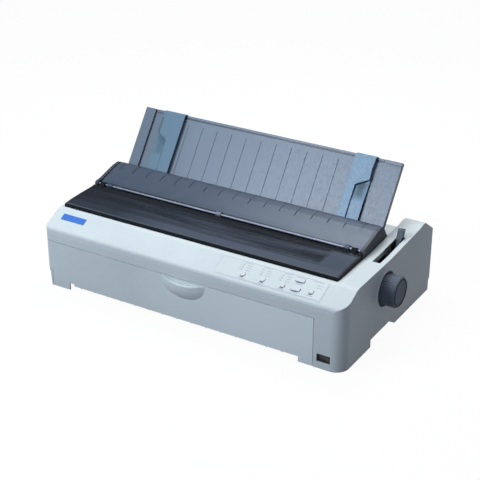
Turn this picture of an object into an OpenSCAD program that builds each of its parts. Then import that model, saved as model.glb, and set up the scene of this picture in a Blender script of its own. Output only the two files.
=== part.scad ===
// Wide-carriage dot matrix printer with hinged covers, a folding sheet guide and a drop-down front.
// Millimetres. x runs left to right, y from the front to the rear, z up. The part stands on z = 0.

/* [Case] */
// Width of the body without the knob
body_w = 610; // [560:1:660]
// Depth of the body from the front face to the rear wall
body_d = 357; // [345:1:390]
// Height of the front face, below the sloping control panel
front_h = 115; // [108:1:122]
// Height of the deck beside the covers
deck_h = 139.5; // [136:0.5:144]
// Height of the two humps at the rear corners above the deck
hump_rise = 10.5; // [7:0.5:16]
// Drop from the deck to the lowered rear deck, just behind the covers
rear_drop = 12.5; // [10:0.5:20]
// Drop from the deck to the rear edge of the lowered deck
rear_edge_drop = 31.5; // [24:0.5:40]
// Thickness of the plastic walls
wall = 2.5; // [2:0.1:3]
// Radius of the right front corner, seen from above
corner_r = 24; // [12:1:32]
// Radius of the left front corner, seen from above
left_corner_r = 10; // [6:1:11]
// Radius of the rear corners, seen from above
rear_corner_r = 12; // [4:1:20]
// Radius of the rounded edge along the deck
edge_r = 6; // [3:0.5:8]
// Height of the seam between the lower and the upper case
seam_z = 34; // [30:1:40]
// How far the left side of the lower case is set in at its foot
left_inset = 9.5; // [4:0.5:10]
// How far the rear of the lower case is set in
rear_inset = 14; // [6:0.5:16]
// Height of the underside of the case floor
floor_z = 18; // [16:0.5:19]
// Gap under the skirt of the case
skirt_z = 1.5; // [1:0.5:3]
// Length of each side's front foot, measured from the front
front_foot = 104; // [90:1:120]
// Where each side's rear foot starts, measured from the front
rear_foot_y = 200; // [180:1:220]
// Height of the hand hold between the feet
hand_hold_h = 16; // [10:1:16]
// Radius of the rubber feet
foot_r = 9; // [6:0.5:11]
// Height of the rubber feet below their posts
foot_h = 3; // [2:0.5:4]

/* [Cavity and covers] */
// Width of the rim left of the covers
left_rim = 6; // [5:0.5:8]
// Width of the deck strip right of the covers
right_deck = 40; // [38:0.5:46]
// Depth of the front panel, from the front face to the covers
panel_d = 52; // [50:1:56]
// Depth at which the cover cavity ends
cavity_end = 250; // [246:1:256]
// How far the ledge under the covers lies below the deck
ledge_drop = 3.8; // [3:0.1:6]
// Width of the ledge under the covers
ledge_w = 4; // [3:0.5:5]
// Depth of the silver hinge rod
rod_y = 150; // [148:0.5:154]
// Height of the silver hinge rod above the deck
rod_rise = 11; // [10.5:0.5:14]
// Radius of the silver hinge rod
rod_r = 2.2; // [1.8:0.1:3]
// Thickness of the smoked cover
window_t = 2; // [1.6:0.1:2.6]
// Height of the smoked cover's front edge above the deck
window_rise = 5.5; // [4:0.5:8]
// Depth of the ribbed cover behind its hinge rod
ribbed_d = 76; // [72:1:78]
// Height of the ribbed cover's rear edge above its hinge rod
ribbed_rise = 17.5; // [15:0.5:19]
// Thickness of the ribbed cover
ribbed_t = 2.2; // [1.8:0.1:3]
// Spacing of the ribs and grooves that line up with the paper
rib_pitch = 32; // [28:1:36]
// Thickness of the cheeks that carry the covers
cheek_t = 6; // [5:0.5:7]

/* [Sheet guide] */
// Left edge of the sheet guide
guide_x0 = 20; // [16:0.5:28]
// Height of the upright sheet guide's top edge
guide_top = 255.5; // [240:0.5:270]
// Lean of the sheet guide from the vertical, in degrees
guide_lean = 35.8; // [33:0.1:38]
// Depth of the sheet guide's foot
guide_y = 222; // [221:0.5:225]
// Height of the sheet guide's foot above the deck
guide_rise = 1.5; // [0.5:0.5:3]
// Thickness of the sheet guide's plate
guide_t = 2.4; // [2:0.1:3]
// Depth of the sheet guide's rear flange
guide_flange = 9; // [7:0.5:10]
// Radius of the sheet guide's pivot pins
guide_pin_r = 3; // [2.5:0.1:3.5]
// Left edge of the left edge guide
edge_left_x = 65; // [62:1:70]
// Width of the left edge guide
edge_left_w = 48.5; // [44:0.5:54]
// Left edge of the right edge guide
edge_right_x = 475; // [460:1:478]
// Width of the right edge guide
edge_right_w = 40; // [38:0.5:48]
// How far the face of an edge guide stands in front of the sheet
edge_gap = 6.6; // [6.4:0.1:7]

/* [Front cover] */
// Left edge of the front cover, below its wrapped corner
front_x0 = 13; // [12.5:0.5:15]
// Right edge of the front cover
front_x1 = 554.5; // [548:0.5:556]
// Height of the front cover's top edge
front_top = 92; // [86:1:96]
// Height of the raised bottom edge
front_raise = 12; // [8:1:14]
// Width of the left end that reaches down to the table
left_end = 38; // [30:1:50]
// Width of the right end that reaches down to the table
right_end = 27; // [20:1:40]
// Width of the curved pull at the top of the front cover
grip_w = 88; // [70:1:110]
// How far the pull stands out of the front cover
grip_out = 12; // [9:0.5:12]
// Height of the pull
grip_h = 30; // [24:1:36]
// Depth of the front cover's pivots
pivot_y = 5; // [4.5:0.5:6]
// Height of the front cover's pivots
pivot_z = 16; // [15.5:0.5:17]
// Radius of the front cover's pivots
pivot_r = 2; // [1.6:0.1:2.4]
// Gap round the front cover
front_gap = 0.8; // [0.6:0.1:1.2]

/* [Knob and platen] */
// Depth of the platen's axis
platen_y = 152; // [151:0.5:154]
// Height of the platen's axis
platen_z = 92; // [90:0.5:94]
// Radius of the rubber platen
platen_r = 19; // [18.5:0.1:19.3]
// Radius of the platen's shaft
shaft_r = 5; // [4:0.1:6]
// How far the knob stands out of the body
knob_out = 29; // [24:0.5:34]
// Radius of the knob
knob_r = 27.5; // [24:0.5:29]
// Number of grip ridges round the knob
knob_ridges = 36; // [24:1:48]
// Depth of the recess round the knob
knob_recess = 8; // [6:0.5:9]
// Gap between the knob and its recess
knob_gap = 4; // [3:0.5:5]
// Module of the paper feed gears
gear_m = 1; // [0.9:0.05:1]
// Teeth of the platen gear
platen_teeth = 50; // [48:2:50]
// Thickness of each gear
gear_t = 6; // [5:0.5:6]

/* [Control panel] */
// Width of the control panel's film
film_w = 204; // [200:1:206]
// Right edge of the control panel's film
film_x1 = 561; // [558:1:564]
// Radius of the round buttons
button_r = 4.3; // [3.6:0.1:4.8]
// Length of the wide buttons
wide_button = 17; // [14:0.5:20]
// Depth of the wide buttons
wide_button_d = 6; // [5:0.5:7]
// How far the buttons stand out of the panel
button_rise = 1.8; // [1.3:0.1:2.5]
// How far the buttons move
button_travel = 1.1; // [0.8:0.1:1.2]

/* [Lever and switch] */
// Width of the lever slot in the deck
slot_w = 14.5; // [13:0.5:16]
// Left edge of the lever slot
slot_x = 586; // [584:0.5:588]
// Front end of the lever slot
slot_y0 = 146; // [142:1:150]
// Rear end of the lever slot
slot_y1 = 247; // [246:1:252]
// Width of the lever
lever_w = 8; // [6:0.5:9]
// Height of the lever's tip above the deck
lever_rise = 21.5; // [17:0.5:26]
// Left edge of the power switch opening
switch_x = 562; // [561:0.5:564]
// Width of the power switch opening
switch_w = 25; // [22:0.5:27]
// Height of the lower edge of the power switch opening
switch_z = 14.5; // [12:0.5:16]
// Height of the power switch opening
switch_h = 14.5; // [12:0.5:16]

/* [Mechanism] */
// Inner face of the left side frame
frame_x0 = 31.5; // [31:0.5:33]
// Inner face of the right side frame
frame_x1 = 545; // [542:0.5:546]
// Thickness of the steel side frames
frame_t = 1.5; // [1.2:0.1:1.8]
// Thickness of the base plate
base_t = 1.2; // [1:0.1:1.6]
// Height of the base plate above the case floor
base_gap = 3.5; // [3:0.5:5]
// Centre of the print head at rest
head_x = 210; // [190:1:240]
// Depth of the carriage shaft
rail_y = 93; // [92:0.5:94]
// Height of the carriage shaft
rail_z = 60; // [59:0.5:61]
// Radius of the carriage shaft
rail_r = 6; // [5:0.5:6.5]
// Width of the carriage
carriage_w = 60; // [50:1:66]
// Gap between the print head's nose and the ribbon
nose_gap = 0.6; // [0.5:0.1:0.9]
// Radius of the timing belt pulleys
pulley_r = 8; // [7:0.5:8.5]
// Left side of the left tractor
tractor_x_left = 90; // [86:1:100]
// Left side of the right tractor
tractor_x_right = 466; // [450:1:470]
// Width of a tractor
tractor_w = 20; // [18:1:22]
// Radius of the tractor shaft
tractor_r = 4; // [3.5:0.1:4.5]

/* [Fits] */
// Radial clearance of a running fit
run = 0.06; // [0.03:0.01:0.09]
// Clearance between pieces that move past each other
slack = 0.4; // [0.3:0.05:0.5]
// Gap between a piece and the seat that it rests on
seat = 0.2; // [0.1:0.05:0.25]

/* [Output] */
// Which sub-part to show

/* [Hidden] */
$fn = 64;
// Every point is moved so that the part stands centred on the origin.
x_shift = -(body_w + knob_out) / 2;
y_shift = (grip_out - body_d) / 2;

hump_h = deck_h + hump_rise;
rear_deck_h = deck_h - rear_drop;
rear_edge_h = deck_h - rear_edge_drop;
rod_z = deck_h + rod_rise;
guide_z = deck_h + guide_rise;
lever_top = deck_h + lever_rise;

// Control panel: a flat slope between two rounded edges.
slope_y0 = 6;
slope_z0 = front_h + 4.5;
slope_y1 = panel_d - 9;
slope_z1 = deck_h - 1.5;
slope_a = atan2(slope_z1 - slope_z0, slope_y1 - slope_y0);

// Cover cavity.
cav_x0 = left_rim;
cav_x1 = body_w - right_deck;
cav_y0 = panel_d;
cav_y1 = cavity_end;
ledge_z = deck_h - ledge_drop;

// Cheeks that stand on the ledge.
cheek_l = cav_x0 + 1;
cheek_r = cav_x1 - 1 - cheek_t;

// Drive train.
floor_top = floor_z + wall;
base_z = floor_top + base_gap;
base_top = base_z + base_t;
frame_w = frame_x1 - frame_x0;
platen_gear_r = gear_m * platen_teeth / 2;
idler_teeth = 20;
idler_r = gear_m * idler_teeth / 2;
tractor_teeth = 30;
tractor_gear_r = gear_m * tractor_teeth / 2;
small_teeth = 20;
small_r = gear_m * small_teeth / 2;
large_teeth = 40;
large_r = gear_m * large_teeth / 2;
pinion_teeth = 14;
pinion_r = gear_m * pinion_teeth / 2;
idler_y = platen_y + platen_gear_r + idler_r;
tractor_y = idler_y + idler_r + tractor_gear_r;
tractor_z = platen_z;
reducer_a = -60;
reducer_y = platen_y + (platen_gear_r + small_r) * cos(reducer_a);
reducer_z = platen_z + (platen_gear_r + small_r) * sin(reducer_a);
motor_a = -30;
motor_y = reducer_y + (large_r + pinion_r) * cos(motor_a);
motor_z = reducer_z + (large_r + pinion_r) * sin(motor_a);
motor_r = 20;
gear_x1 = frame_x0 - frame_t - 2;
gear_x0 = gear_x1 - gear_t;
outer_gear_x1 = gear_x0 - 1;
outer_gear_x0 = outer_gear_x1 - gear_t;

// Phase of a gear that meshes with another at angle b, so that a tooth meets a gap.
function mesh_phase(b, n1, p1, n2) = b + 180 + 180 / n2 + (b - p1) * n1 / n2;
idler_p = mesh_phase(0, platen_teeth, 0, idler_teeth);
tractor_p = mesh_phase(0, idler_teeth, idler_p, tractor_teeth);
small_p = mesh_phase(reducer_a, platen_teeth, 0, small_teeth);
large_p = 0;
pinion_p = mesh_phase(motor_a, large_teeth, large_p, pinion_teeth);

// ---- helpers ----

module place() {
	translate([x_shift, y_shift, 0]) children();
}

// Box between two corners.
module box(a, b) {
	translate(a) cube([b[0] - a[0], b[1] - a[1], b[2] - a[2]]);
}

// Outline in (y, z), pulled along x.
module along_x(x0, x1) {
	translate([x0, 0, 0]) rotate([90, 0, 90]) linear_extrude(x1 - x0) children();
}

// Outline in (x, z), pulled along y.
module along_y(y0, y1) {
	translate([0, y1, 0]) rotate([90, 0, 0]) linear_extrude(y1 - y0) children();
}

module bar_x(x0, x1, y, z, r) {
	translate([x0, y, z]) rotate([0, 90, 0]) cylinder(h = x1 - x0, r = r);
}

module bar_y(y0, y1, x, z, r) {
	translate([x, y0, z]) rotate([-90, 0, 0]) cylinder(h = y1 - y0, r = r);
}

module bar_z(z0, z1, x, y, r) {
	translate([x, y, z0]) cylinder(h = z1 - z0, r = r);
}

// Rounded rectangle as a 2D shape with its own radius at each corner:
// left front, right front, right rear, left rear.
module soft_square(x0, y0, x1, y1, r) {
	difference() {
		translate([x0, y0]) square([x1 - x0, y1 - y0]);
		soft_corner(x0, y0, 1, 1, r[0]);
		soft_corner(x1, y0, -1, 1, r[1]);
		soft_corner(x1, y1, -1, -1, r[2]);
		soft_corner(x0, y1, 1, -1, r[3]);
	}
}

module soft_corner(x, y, sx, sy, r) {
	translate([x, y]) mirror([sx < 0 ? 1 : 0, 0]) mirror([0, sy < 0 ? 1 : 0])
		difference() {
			translate([-1, -1]) square([r + 1, r + 1]);
			translate([r, r]) circle(r);
		}
}

// Rounds the top edge at x = edge along a straight run from p to q, both (y, z).
module edge_cut(edge, side, p, q, r) {
	run_l = norm(q - p);
	run_a = atan2(q[1] - p[1], q[0] - p[0]);
	translate([edge, p[0], p[1]]) rotate([run_a, 0, 0]) translate([0, -0.4, 0]) rotate([-90, 0, 0])
		linear_extrude(run_l + 0.8)
			mirror([side > 0 ? 1 : 0, 0])
				difference() {
					translate([-1, -1]) square([r + 1, r + 1]);
					translate([r, r]) circle(r);
				}
}

// Everything on the slope of the control panel is drawn flat: x, distance up the slope, height.
module on_slope() {
	translate([0, slope_y0, slope_z0]) rotate([slope_a, 0, 0]) children();
}

// Everything on the leaning sheet guide: x, depth behind its face, distance up the guide.
module on_guide() {
	translate([0, guide_y, guide_z]) rotate([-guide_lean, 0, 0]) children();
}

// Toothed wheel as a 2D shape, its teeth centred on the given phase.
module toothed(n, m, phase, bore) {
	rp = n * m / 2;
	tip = rp + 0.8 * m;
	root = rp - 1.15 * m;
	step = 360 / n;
	difference() {
		polygon([for (i = [0 : n - 1]) each [
			[root * cos(phase + (i - 0.3) * step), root * sin(phase + (i - 0.3) * step)],
			[tip * cos(phase + (i - 0.11) * step), tip * sin(phase + (i - 0.11) * step)],
			[tip * cos(phase + (i + 0.11) * step), tip * sin(phase + (i + 0.11) * step)],
			[root * cos(phase + (i + 0.3) * step), root * sin(phase + (i + 0.3) * step)]]]);
		circle(bore);
	}
}

module gear_at(x0, x1, y, z, n, phase, bore) {
	translate([0, y, z]) along_x(x0, x1) toothed(n, gear_m, phase, bore);
}

// ---- case ----

// Side outline of the deck and the humps, in (y, z), drawn in by k.
function side_outline(k) = [
	[k, -20], [k, front_h - 8 - k / 2], [0.8 + k, front_h - 1 - k / 2],
	[2.6 + k, front_h + 2.2 - k * 0.7],
	[slope_y0 + k * 0.5, slope_z0 - k * 0.868], [slope_y1, slope_z1 - k * 1.118],
	[panel_d, deck_h - k], [rod_y + 22, deck_h + 0.5 - k], [body_d - 72, hump_h - 3 - k],
	[body_d - 61, hump_h - 0.8 - k], [body_d - 53, hump_h - k], [body_d - 45, hump_h - 0.5 - k],
	[body_d - 7 - k, hump_h - 27 - k / 2],
	[body_d - 2 - k, hump_h - 32 - k / 2], [body_d - k, hump_h - 39], [body_d - k, -20]];

// The same between the humps, with the lowered rear deck.
function mid_outline(k) = [
	[k, -20], [k, front_h - 8 - k / 2], [0.8 + k, front_h - 1 - k / 2],
	[2.6 + k, front_h + 2.2 - k * 0.7],
	[slope_y0 + k * 0.5, slope_z0 - k * 0.868], [slope_y1, slope_z1 - k * 1.118],
	[panel_d, deck_h - k], [cav_y1, deck_h - k], [cav_y1, rear_deck_h - k],
	[body_d - 8 - k / 2, rear_edge_h + 1 - k], [body_d - 2 - k, rear_edge_h - 2 - k / 2],
	[body_d - k, rear_edge_h - 8], [body_d - k, -20]];

module plan(k, z0, z1) {
	translate([0, 0, z0]) linear_extrude(z1 - z0)
		soft_square(k, k, body_w - k, body_d - k, [left_corner_r - k * 0.8, corner_r - k,
			rear_corner_r - k, rear_corner_r - k]);
}

module deck_edges() {
	pts = side_outline(0);
	for (i = [1 : len(pts) - 3]) {
		edge_cut(0, -1, pts[i], pts[i + 1], edge_r - 2);
		edge_cut(body_w, 1, pts[i], pts[i + 1], edge_r);
	}
}

// Outline of the lower case, set in at the left and at the rear.
module foot_outline(z0, k) {
	intersection() {
		plan(k, z0, seam_z + k);
		along_y(-1, body_d + 1)
			polygon([[left_inset + k, z0], [left_inset * 0.75 + k, seam_z - 4], [k, seam_z], [k, seam_z + k],
				[body_w - k, seam_z + k], [body_w - k, z0]]);
		along_x(-1, body_w + 1)
			polygon([[-1, z0], [-1, seam_z + k], [body_d - k, seam_z + k], [body_d - k, seam_z],
				[body_d - rear_inset - k, seam_z - rear_inset + 1], [body_d - rear_inset - k, z0]]);
	}
}

wrap_y = left_corner_r + 1;

// Opening that the front cover closes. Above the seam it goes round the left corner.
module front_opening() {
	box([front_x0 - front_gap, -13, -1], [front_x1 + front_gap, wall + 2, front_top + front_gap]);
	box([-1, -1, seam_z], [front_x0, wrap_y + front_gap, front_top + front_gap]);
	bar_x(front_x0 - pivot_reach, front_x0, pivot_y, pivot_z, pivot_r + run);
}

// Arch between the front and the rear foot of a side.
module hand_hold() {
	along_x(-1, body_w + 1)
		polygon([[front_foot, -1], [front_foot, hand_hold_h], [rear_foot_y - hand_hold_h * 1.5, hand_hold_h],
			[rear_foot_y, skirt_z], [rear_foot_y, -1]]);
}

foot_spots = [[34, 36], [body_w - 34, 36], [34, body_d - 30], [body_w - 34, body_d - 30]];
front_wall_y = 22;
// How far the front cover's pivots reach out of its ends, with their end play.
pivot_reach = front_gap + 2;
bulkhead_y = 46;
bulkhead_h = 70;
post_r = foot_r + 2.5;
stud_r = 3;
board_z = floor_top + 20;
board_y0 = cav_y1 + 12;
board_y1 = body_d - wall - 6;
main_x0 = 60;
main_x1 = 330;
power_x0 = 360;
power_x1 = 552;
screw_x = wall + 4.7;
screw_spots = [[screw_x + left_inset, body_d - 34], [body_w - screw_x, body_d - 34],
	[screw_x + left_inset, body_d - 95], [body_w - screw_x, body_d - 95]];

module lower_case() {
	color([0.70, 0.75, 0.79]) place() {
		difference() {
			foot_outline(skirt_z, 0);
			// space above the floor
			foot_outline(floor_top, wall);
			// space under the floor
			difference() {
				foot_outline(skirt_z - 1, wall);
				box([-1, -1, floor_z], [body_w + 1, body_d + 1, seam_z + 10]);
			}
			hand_hold();
			front_opening();
			// the front bay goes down to the table behind the front cover
			box([front_x0 - front_gap, -1, -1], [front_x1 + front_gap, front_wall_y, seam_z + 1]);
			switch_hole();
			switch_pocket();
			for (p = screw_spots) {
				bar_z(floor_z - 1, seam_z + 1, p[0], p[1], 1.6);
			}
		}
		// wall behind the front bay, with the paper path above it
		difference() {
			box([left_inset + 1, front_wall_y, skirt_z], [body_w - 1, front_wall_y + wall, floor_top]);
			switch_pocket();
		}
		difference() {
			box([left_inset, bulkhead_y, floor_z], [body_w - wall + 1, bulkhead_y + wall, seam_z]);
			bar_y(bulkhead_y - 1, bulkhead_y + wall + 1, 40, 27, 4);
		}
		box([frame_x0 + 6, bulkhead_y, seam_z], [frame_x1 - 6, bulkhead_y + wall, bulkhead_h]);
		// pivot plates of the front cover
		difference() {
			union() {
				intersection() {
					box([0, wall - 0.5, skirt_z], [front_x0 - front_gap, front_wall_y + 0.5, seam_z]);
					foot_outline(skirt_z, 0.6);
				}
				box([front_x1 + front_gap, wall - 0.5, skirt_z],
					[front_x1 + front_gap + 3.7, front_wall_y + 0.5, seam_z]);
			}
			bar_x(front_x0 - pivot_reach, front_x0, pivot_y, pivot_z, pivot_r + run);
			bar_x(front_x1 - 5, front_x1 + pivot_reach, pivot_y, pivot_z, pivot_r + run);
		}
		// foot posts
		for (p = foot_spots) {
			difference() {
				bar_z(foot_h, floor_z + 0.5, p[0], p[1], post_r);
				bar_z(foot_h - 1, foot_h + 6, p[0], p[1], 4);
			}
		}
		// posts under the base plate and the boards
		for (x = [frame_x0 + 20, body_w / 2, frame_x1 - 20], y = [bulkhead_y + 22, cav_y1 - 14]) {
			bar_z(floor_top - 0.5, base_z, x, y, 5);
		}
		for (x = [main_x0 + 8, main_x1 - 8, power_x0 + 8, power_x1 - 8], y = [board_y0 + 6, board_y1 - 14]) {
			bar_z(floor_top - 0.5, board_z, x, y, 4);
		}
		// screw columns
		for (p = screw_spots) {
			difference() {
				bar_z(floor_z, seam_z, p[0], p[1], 5);
				bar_z(floor_z - 1, seam_z + 1, p[0], p[1], 1.6);
			}
		}
	}
}

module case_screws() {
	color([0.35, 0.36, 0.38]) place()
		for (p = screw_spots) {
			difference() {
				union() {
					bar_z(floor_z - 2.4, floor_z, p[0], p[1], 2.5);
					bar_z(floor_z - 0.1, seam_z + 10, p[0], p[1], 1.55);
				}
				translate([p[0], p[1], floor_z - 2.5]) {
					translate([-1.6, -0.35, 0]) cube([3.2, 0.7, 1.2]);
					translate([-0.35, -1.6, 0]) cube([0.7, 3.2, 1.2]);
				}
			}
		}
}

module rubber_feet() {
	color([0.1, 0.1, 0.11]) place()
		for (p = foot_spots) {
			bar_z(0, foot_h, p[0], p[1], foot_r);
			bar_z(foot_h - 0.5, foot_h + 5, p[0], p[1], 3.9);
		}
}

knob_cup_r = knob_r + knob_gap;
socket_z0 = board_z + 1.6;
inlet_x = 500;
inlet_z = 62;
parallel_x = 182;
bus_x = 242.7;

module upper_case() {
	color([0.86, 0.88, 0.89]) place() {
		difference() {
			union() {
				difference() {
					intersection() {
						plan(0, seam_z, 200);
						union() {
							along_x(0, cav_x0 + 2) polygon(side_outline(0));
							along_x(cav_x0, cav_x1) polygon(mid_outline(0));
							along_x(cav_x1, body_w) polygon(side_outline(0));
						}
					}
					intersection() {
						plan(wall, seam_z - 1, 200);
						union() {
							along_x(wall, body_w - wall) polygon(mid_outline(wall));
							along_x(cav_x1 + wall, body_w - wall) polygon(side_outline(wall));
						}
					}
					deck_edges();
				}
				// skirt round the cavity
				box([wall - 0.5, cav_y0 - wall, deck_h - 26], [cav_x1 + wall, cav_y0, deck_h - 1]);
				box([cav_x1, cav_y0, deck_h - 26], [cav_x1 + wall, cav_y1, deck_h - 1]);
				box([wall - 0.5, cav_y0, deck_h - 26], [cav_x0, cav_y1, deck_h - 1]);
				box([wall - 0.5, cav_y1, rear_deck_h - 26], [cav_x1 + wall, cav_y1 + wall, rear_deck_h - 1]);
				// knob recess with its raised rim
				bar_x(body_w - knob_recess - wall, body_w - 1, platen_y, platen_z, knob_cup_r + wall);
				translate([body_w - 1, platen_y, platen_z]) rotate([0, 90, 0])
					cylinder(h = 3, r1 = knob_cup_r + 6, r2 = knob_cup_r + 2);
				// screw columns
				for (p = screw_spots) {
					bar_z(seam_z, seam_z + 14, p[0], p[1], 5);
				}
				for (y = [body_d - 34, body_d - 95]) {
					box([wall - 0.5, y - 1.5, seam_z], [screw_spots[0][0] - 3, y + 1.5, seam_z + 14]);
				}
			}
			// cavity
			box([cav_x0, cav_y0, 60], [cav_x1, cav_y1, 200]);
			front_opening();
			// lever slot
			box([slot_x, slot_y0, deck_h - 10], [slot_x + slot_w, slot_y1, hump_h + 5]);
			// knob recess
			bar_x(body_w - knob_recess, body_w + 3, platen_y, platen_z, knob_cup_r);
			bar_x(body_w - knob_recess - wall - 1, body_w, platen_y, platen_z, shaft_r + 3);
			for (p = screw_spots) {
				bar_z(seam_z - 1, seam_z + 12, p[0], p[1], 1.6);
			}
			// control panel: button holes and lens windows
			on_slope() button_holes();
			// rear sockets
			box([inlet_x - 14, body_d - wall - 1, inlet_z - 10.5], [inlet_x + 14, body_d + 1, inlet_z + 10.5]);
			box([parallel_x - 32, body_d - wall - 1, socket_z0 - 0.2], [parallel_x + 32, body_d + 1, socket_z0 + 15.4]);
			box([bus_x - 6.7, body_d - wall - 1, socket_z0 - 0.2], [bus_x + 6.7, body_d + 1, socket_z0 + 12]);
			// cooling slots in the rear wall and the right side
			for (i = [0 : 11]) {
				box([380 + i * 8, body_d - wall - 1, 84], [384 + i * 8, body_d + 1, 98]);
			}
		}
		// ledges that the covers rest on
		box([cav_x0 - 0.5, cav_y0 - 0.5, ledge_z - wall], [cav_x0 + ledge_w, cav_y1 + 0.5, ledge_z]);
		box([cav_x1 - ledge_w, cav_y0 - 0.5, ledge_z - wall], [cav_x1 + 0.5, cav_y1 + 0.5, ledge_z]);
		box([cav_x0, cav_y0 - 0.5, ledge_z - wall], [cav_x1, cav_y0 + ledge_w, ledge_z]);
	}
}

// ---- front cover ----

front_t = wall;
front_low = skirt_z + 0.5;
wrap_z = seam_z + front_gap;
grip_x = (front_x0 + front_x1) / 2 + 17.5;
tab_pitch = 30;
// The pull is part of a ring whose rim and profile are arcs.
grip_r = (pow(grip_w / 2, 2) + pow(grip_out, 2)) / (2 * grip_out);
grip_bow = min((pow(grip_h, 2) + pow(grip_out, 2)) / (2 * grip_out), grip_r / 2 - 0.5);
grip_z = front_top - grip_out / 2;

module front_outline() {
	polygon([[front_x0, front_low], [front_x0 + left_end, front_low], [front_x0 + left_end, front_raise + 4],
		[front_x0 + left_end + 10, front_raise + 4], [front_x0 + left_end + 10, front_raise],
		[front_x1 - right_end, front_raise], [front_x1 - right_end, front_low], [front_x1, front_low],
		[front_x1, front_top], [left_corner_r, front_top], [left_corner_r, wrap_z], [front_x0, wrap_z]]);
}

module front_cover() {
	tabs_x0 = front_x0 + left_end + 10;
	color([0.68, 0.74, 0.79]) place() {
		difference() {
			union() {
				along_y(0, front_t) front_outline();
				// the part that goes round the left corner
				difference() {
					intersection() {
						plan(0, wrap_z, front_top);
						box([0, 0, 0], [left_corner_r + 0.1, wrap_y, front_top]);
					}
					plan(front_t, 0, front_top + 1);
				}
				grip();
				// stiffening ribs on the inner face
				for (i = [0 : 8]) {
					x = front_x0 + 24 + i * (front_x1 - front_x0 - 48) / 8;
					box([x - 1, front_t - 0.5, front_raise + 8], [x + 1, front_t + 4, front_top - 12]);
				}
				box([front_x0 + 10, front_t - 0.5, front_raise + 6], [front_x1 - 10, front_t + 4, front_raise + 8]);
				// small ribs that show under the raised bottom edge
				for (x = [tabs_x0 + tab_pitch / 2 : tab_pitch : front_x1 - right_end - 4]) {
					box([x - 1, 0.6, front_raise - 1.4], [x + 1, front_t, front_raise + 1]);
				}
				// ears and pivots
				hinge_ear(front_x0 + 1.5);
				hinge_ear(front_x1 - 5.5);
				bar_x(front_x0 - pivot_reach + slack, front_x0 + 2, pivot_y, pivot_z, pivot_r);
				bar_x(front_x1 - 3, front_x1 + pivot_reach - slack, pivot_y, pivot_z, pivot_r);
			}
		}
	}
}

// Bulging pull with a trough for the finger tips behind its rim.
module grip() {
	difference() {
		translate([grip_x, grip_r - grip_out, grip_z]) rotate_extrude() translate([grip_r - grip_bow, 0])
			circle(grip_bow);
		box([grip_x - grip_r - 1, 0.5, 0], [grip_x + grip_r + 1, 2 * grip_r + 1, 200]);
		// the top slopes down to the rim
		along_x(grip_x - grip_r - 1, grip_x + grip_r + 1)
			polygon([[1, front_top - 0.8], [-grip_out, grip_z], [-grip_out - 2, grip_z], [-grip_out - 2, 300], [1, 300]]);
		intersection() {
			translate([grip_x, grip_r - grip_out, front_top + 0.5]) rotate_extrude() translate([grip_r - 7.8, 0])
				circle(6);
			box([grip_x - grip_w, -grip_out - 1, grip_z - 10], [grip_x + grip_w, -0.1, front_top + 20]);
		}
	}
}

module hinge_ear(x) {
	box([x, front_t - 0.5, pivot_z - 3], [x + 4, pivot_y, pivot_z + 3]);
	bar_x(x, x + 4, pivot_y, pivot_z, 3);
}

// ---- control panel ----

film_t = 0.4;
slope_len = norm([slope_y1 - slope_y0, slope_z1 - slope_z0]);
film_x0 = film_x1 - film_w;
film_s0 = 2;
film_s1 = slope_len - 1;
round_x = [film_x1 - 150, film_x1 - 112, film_x1 - 74, film_x1 - 22];
round_s = film_s0 + 11;
last_s = film_s0 + 14;
wide_x = film_x1 - 50;
wide_s = [film_s0 + 10.5, film_s0 + 29];
stem_r = 2.5;
stem_l = 1.4;
flange_t = 1.2;
key_h = 1.6;
board_drop = wall + seat + flange_t + stem_l + slack + button_travel + key_h;

round_spots = [for (i = [0 : 3]) [round_x[i], i < 3 ? round_s : last_s]];
lens_spots = [for (i = [0 : 2], j = [0 : 2]) [round_x[i] - 8, round_s + 9 + j * 5],
	for (j = [0, 1]) [round_x[3] + 6, last_s + 10 + j * 5]];

module button_holes() {
	for (p = round_spots) {
		bar_z(-wall - 3, 3, p[0], p[1], button_r + slack);
	}
	for (s = wide_s) {
		box([wide_x - wide_button / 2 - slack, s - wide_button_d / 2 - slack, -wall - 3],
			[wide_x + wide_button / 2 + slack, s + wide_button_d / 2 + slack, 3]);
	}
	for (p = lens_spots) {
		bar_z(-wall - 3, 3, p[0], p[1], 1.2);
	}
}

module panel_film() {
	color([0.90, 0.92, 0.93]) place() on_slope()
		difference() {
			linear_extrude(film_t) soft_square(film_x0, film_s0, film_x1, film_s1, [2, 2, 2, 2]);
			button_holes();
		}
}

module panel_lenses() {
	color([0.45, 0.62, 0.40]) place() on_slope()
		for (p = lens_spots) {
			bar_z(-wall - 0.8, film_t + 0.1, p[0], p[1], 1.15);
			bar_z(-board_drop, -wall - 0.7, p[0], p[1], 1.9);
		}
}

module control_board() {
	color([0.16, 0.38, 0.22]) place() on_slope() {
		box([film_x0 + 10, film_s0, -board_drop - 1.6], [film_x1 - 2, film_s1 - 3, -board_drop]);
		// switches under the buttons
		for (p = round_spots) {
			tact_switch(p);
		}
		for (s = wide_s) {
			tact_switch([wide_x, s]);
		}
		// posts up to the panel
		for (x = [film_x0 + 14, film_x1 - 88]) {
			bar_z(-board_drop - 0.5, -wall, x, film_s0 + 4, 2);
		}
	}
}

module tact_switch(p) {
	translate([p[0] - 3, p[1] - 3, -board_drop - 0.2]) cube([6, 6, key_h + 0.2]);
}

// A cap that rises through the film, with a flange under the panel.
module round_button(x, s) {
	color([0.86, 0.88, 0.89]) place() on_slope() translate([x, s, 0]) {
		translate([0, 0, -wall - seat - 1]) cylinder(h = wall + seat + 0.5 + button_rise, r = button_r);
		translate([0, 0, button_rise - 0.5]) cylinder(h = 0.5, r1 = button_r, r2 = button_r - 0.5);
		bar_z(-wall - seat - flange_t, -wall - seat, 0, 0, button_r + 1.6);
		button_stem();
	}
}

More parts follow.
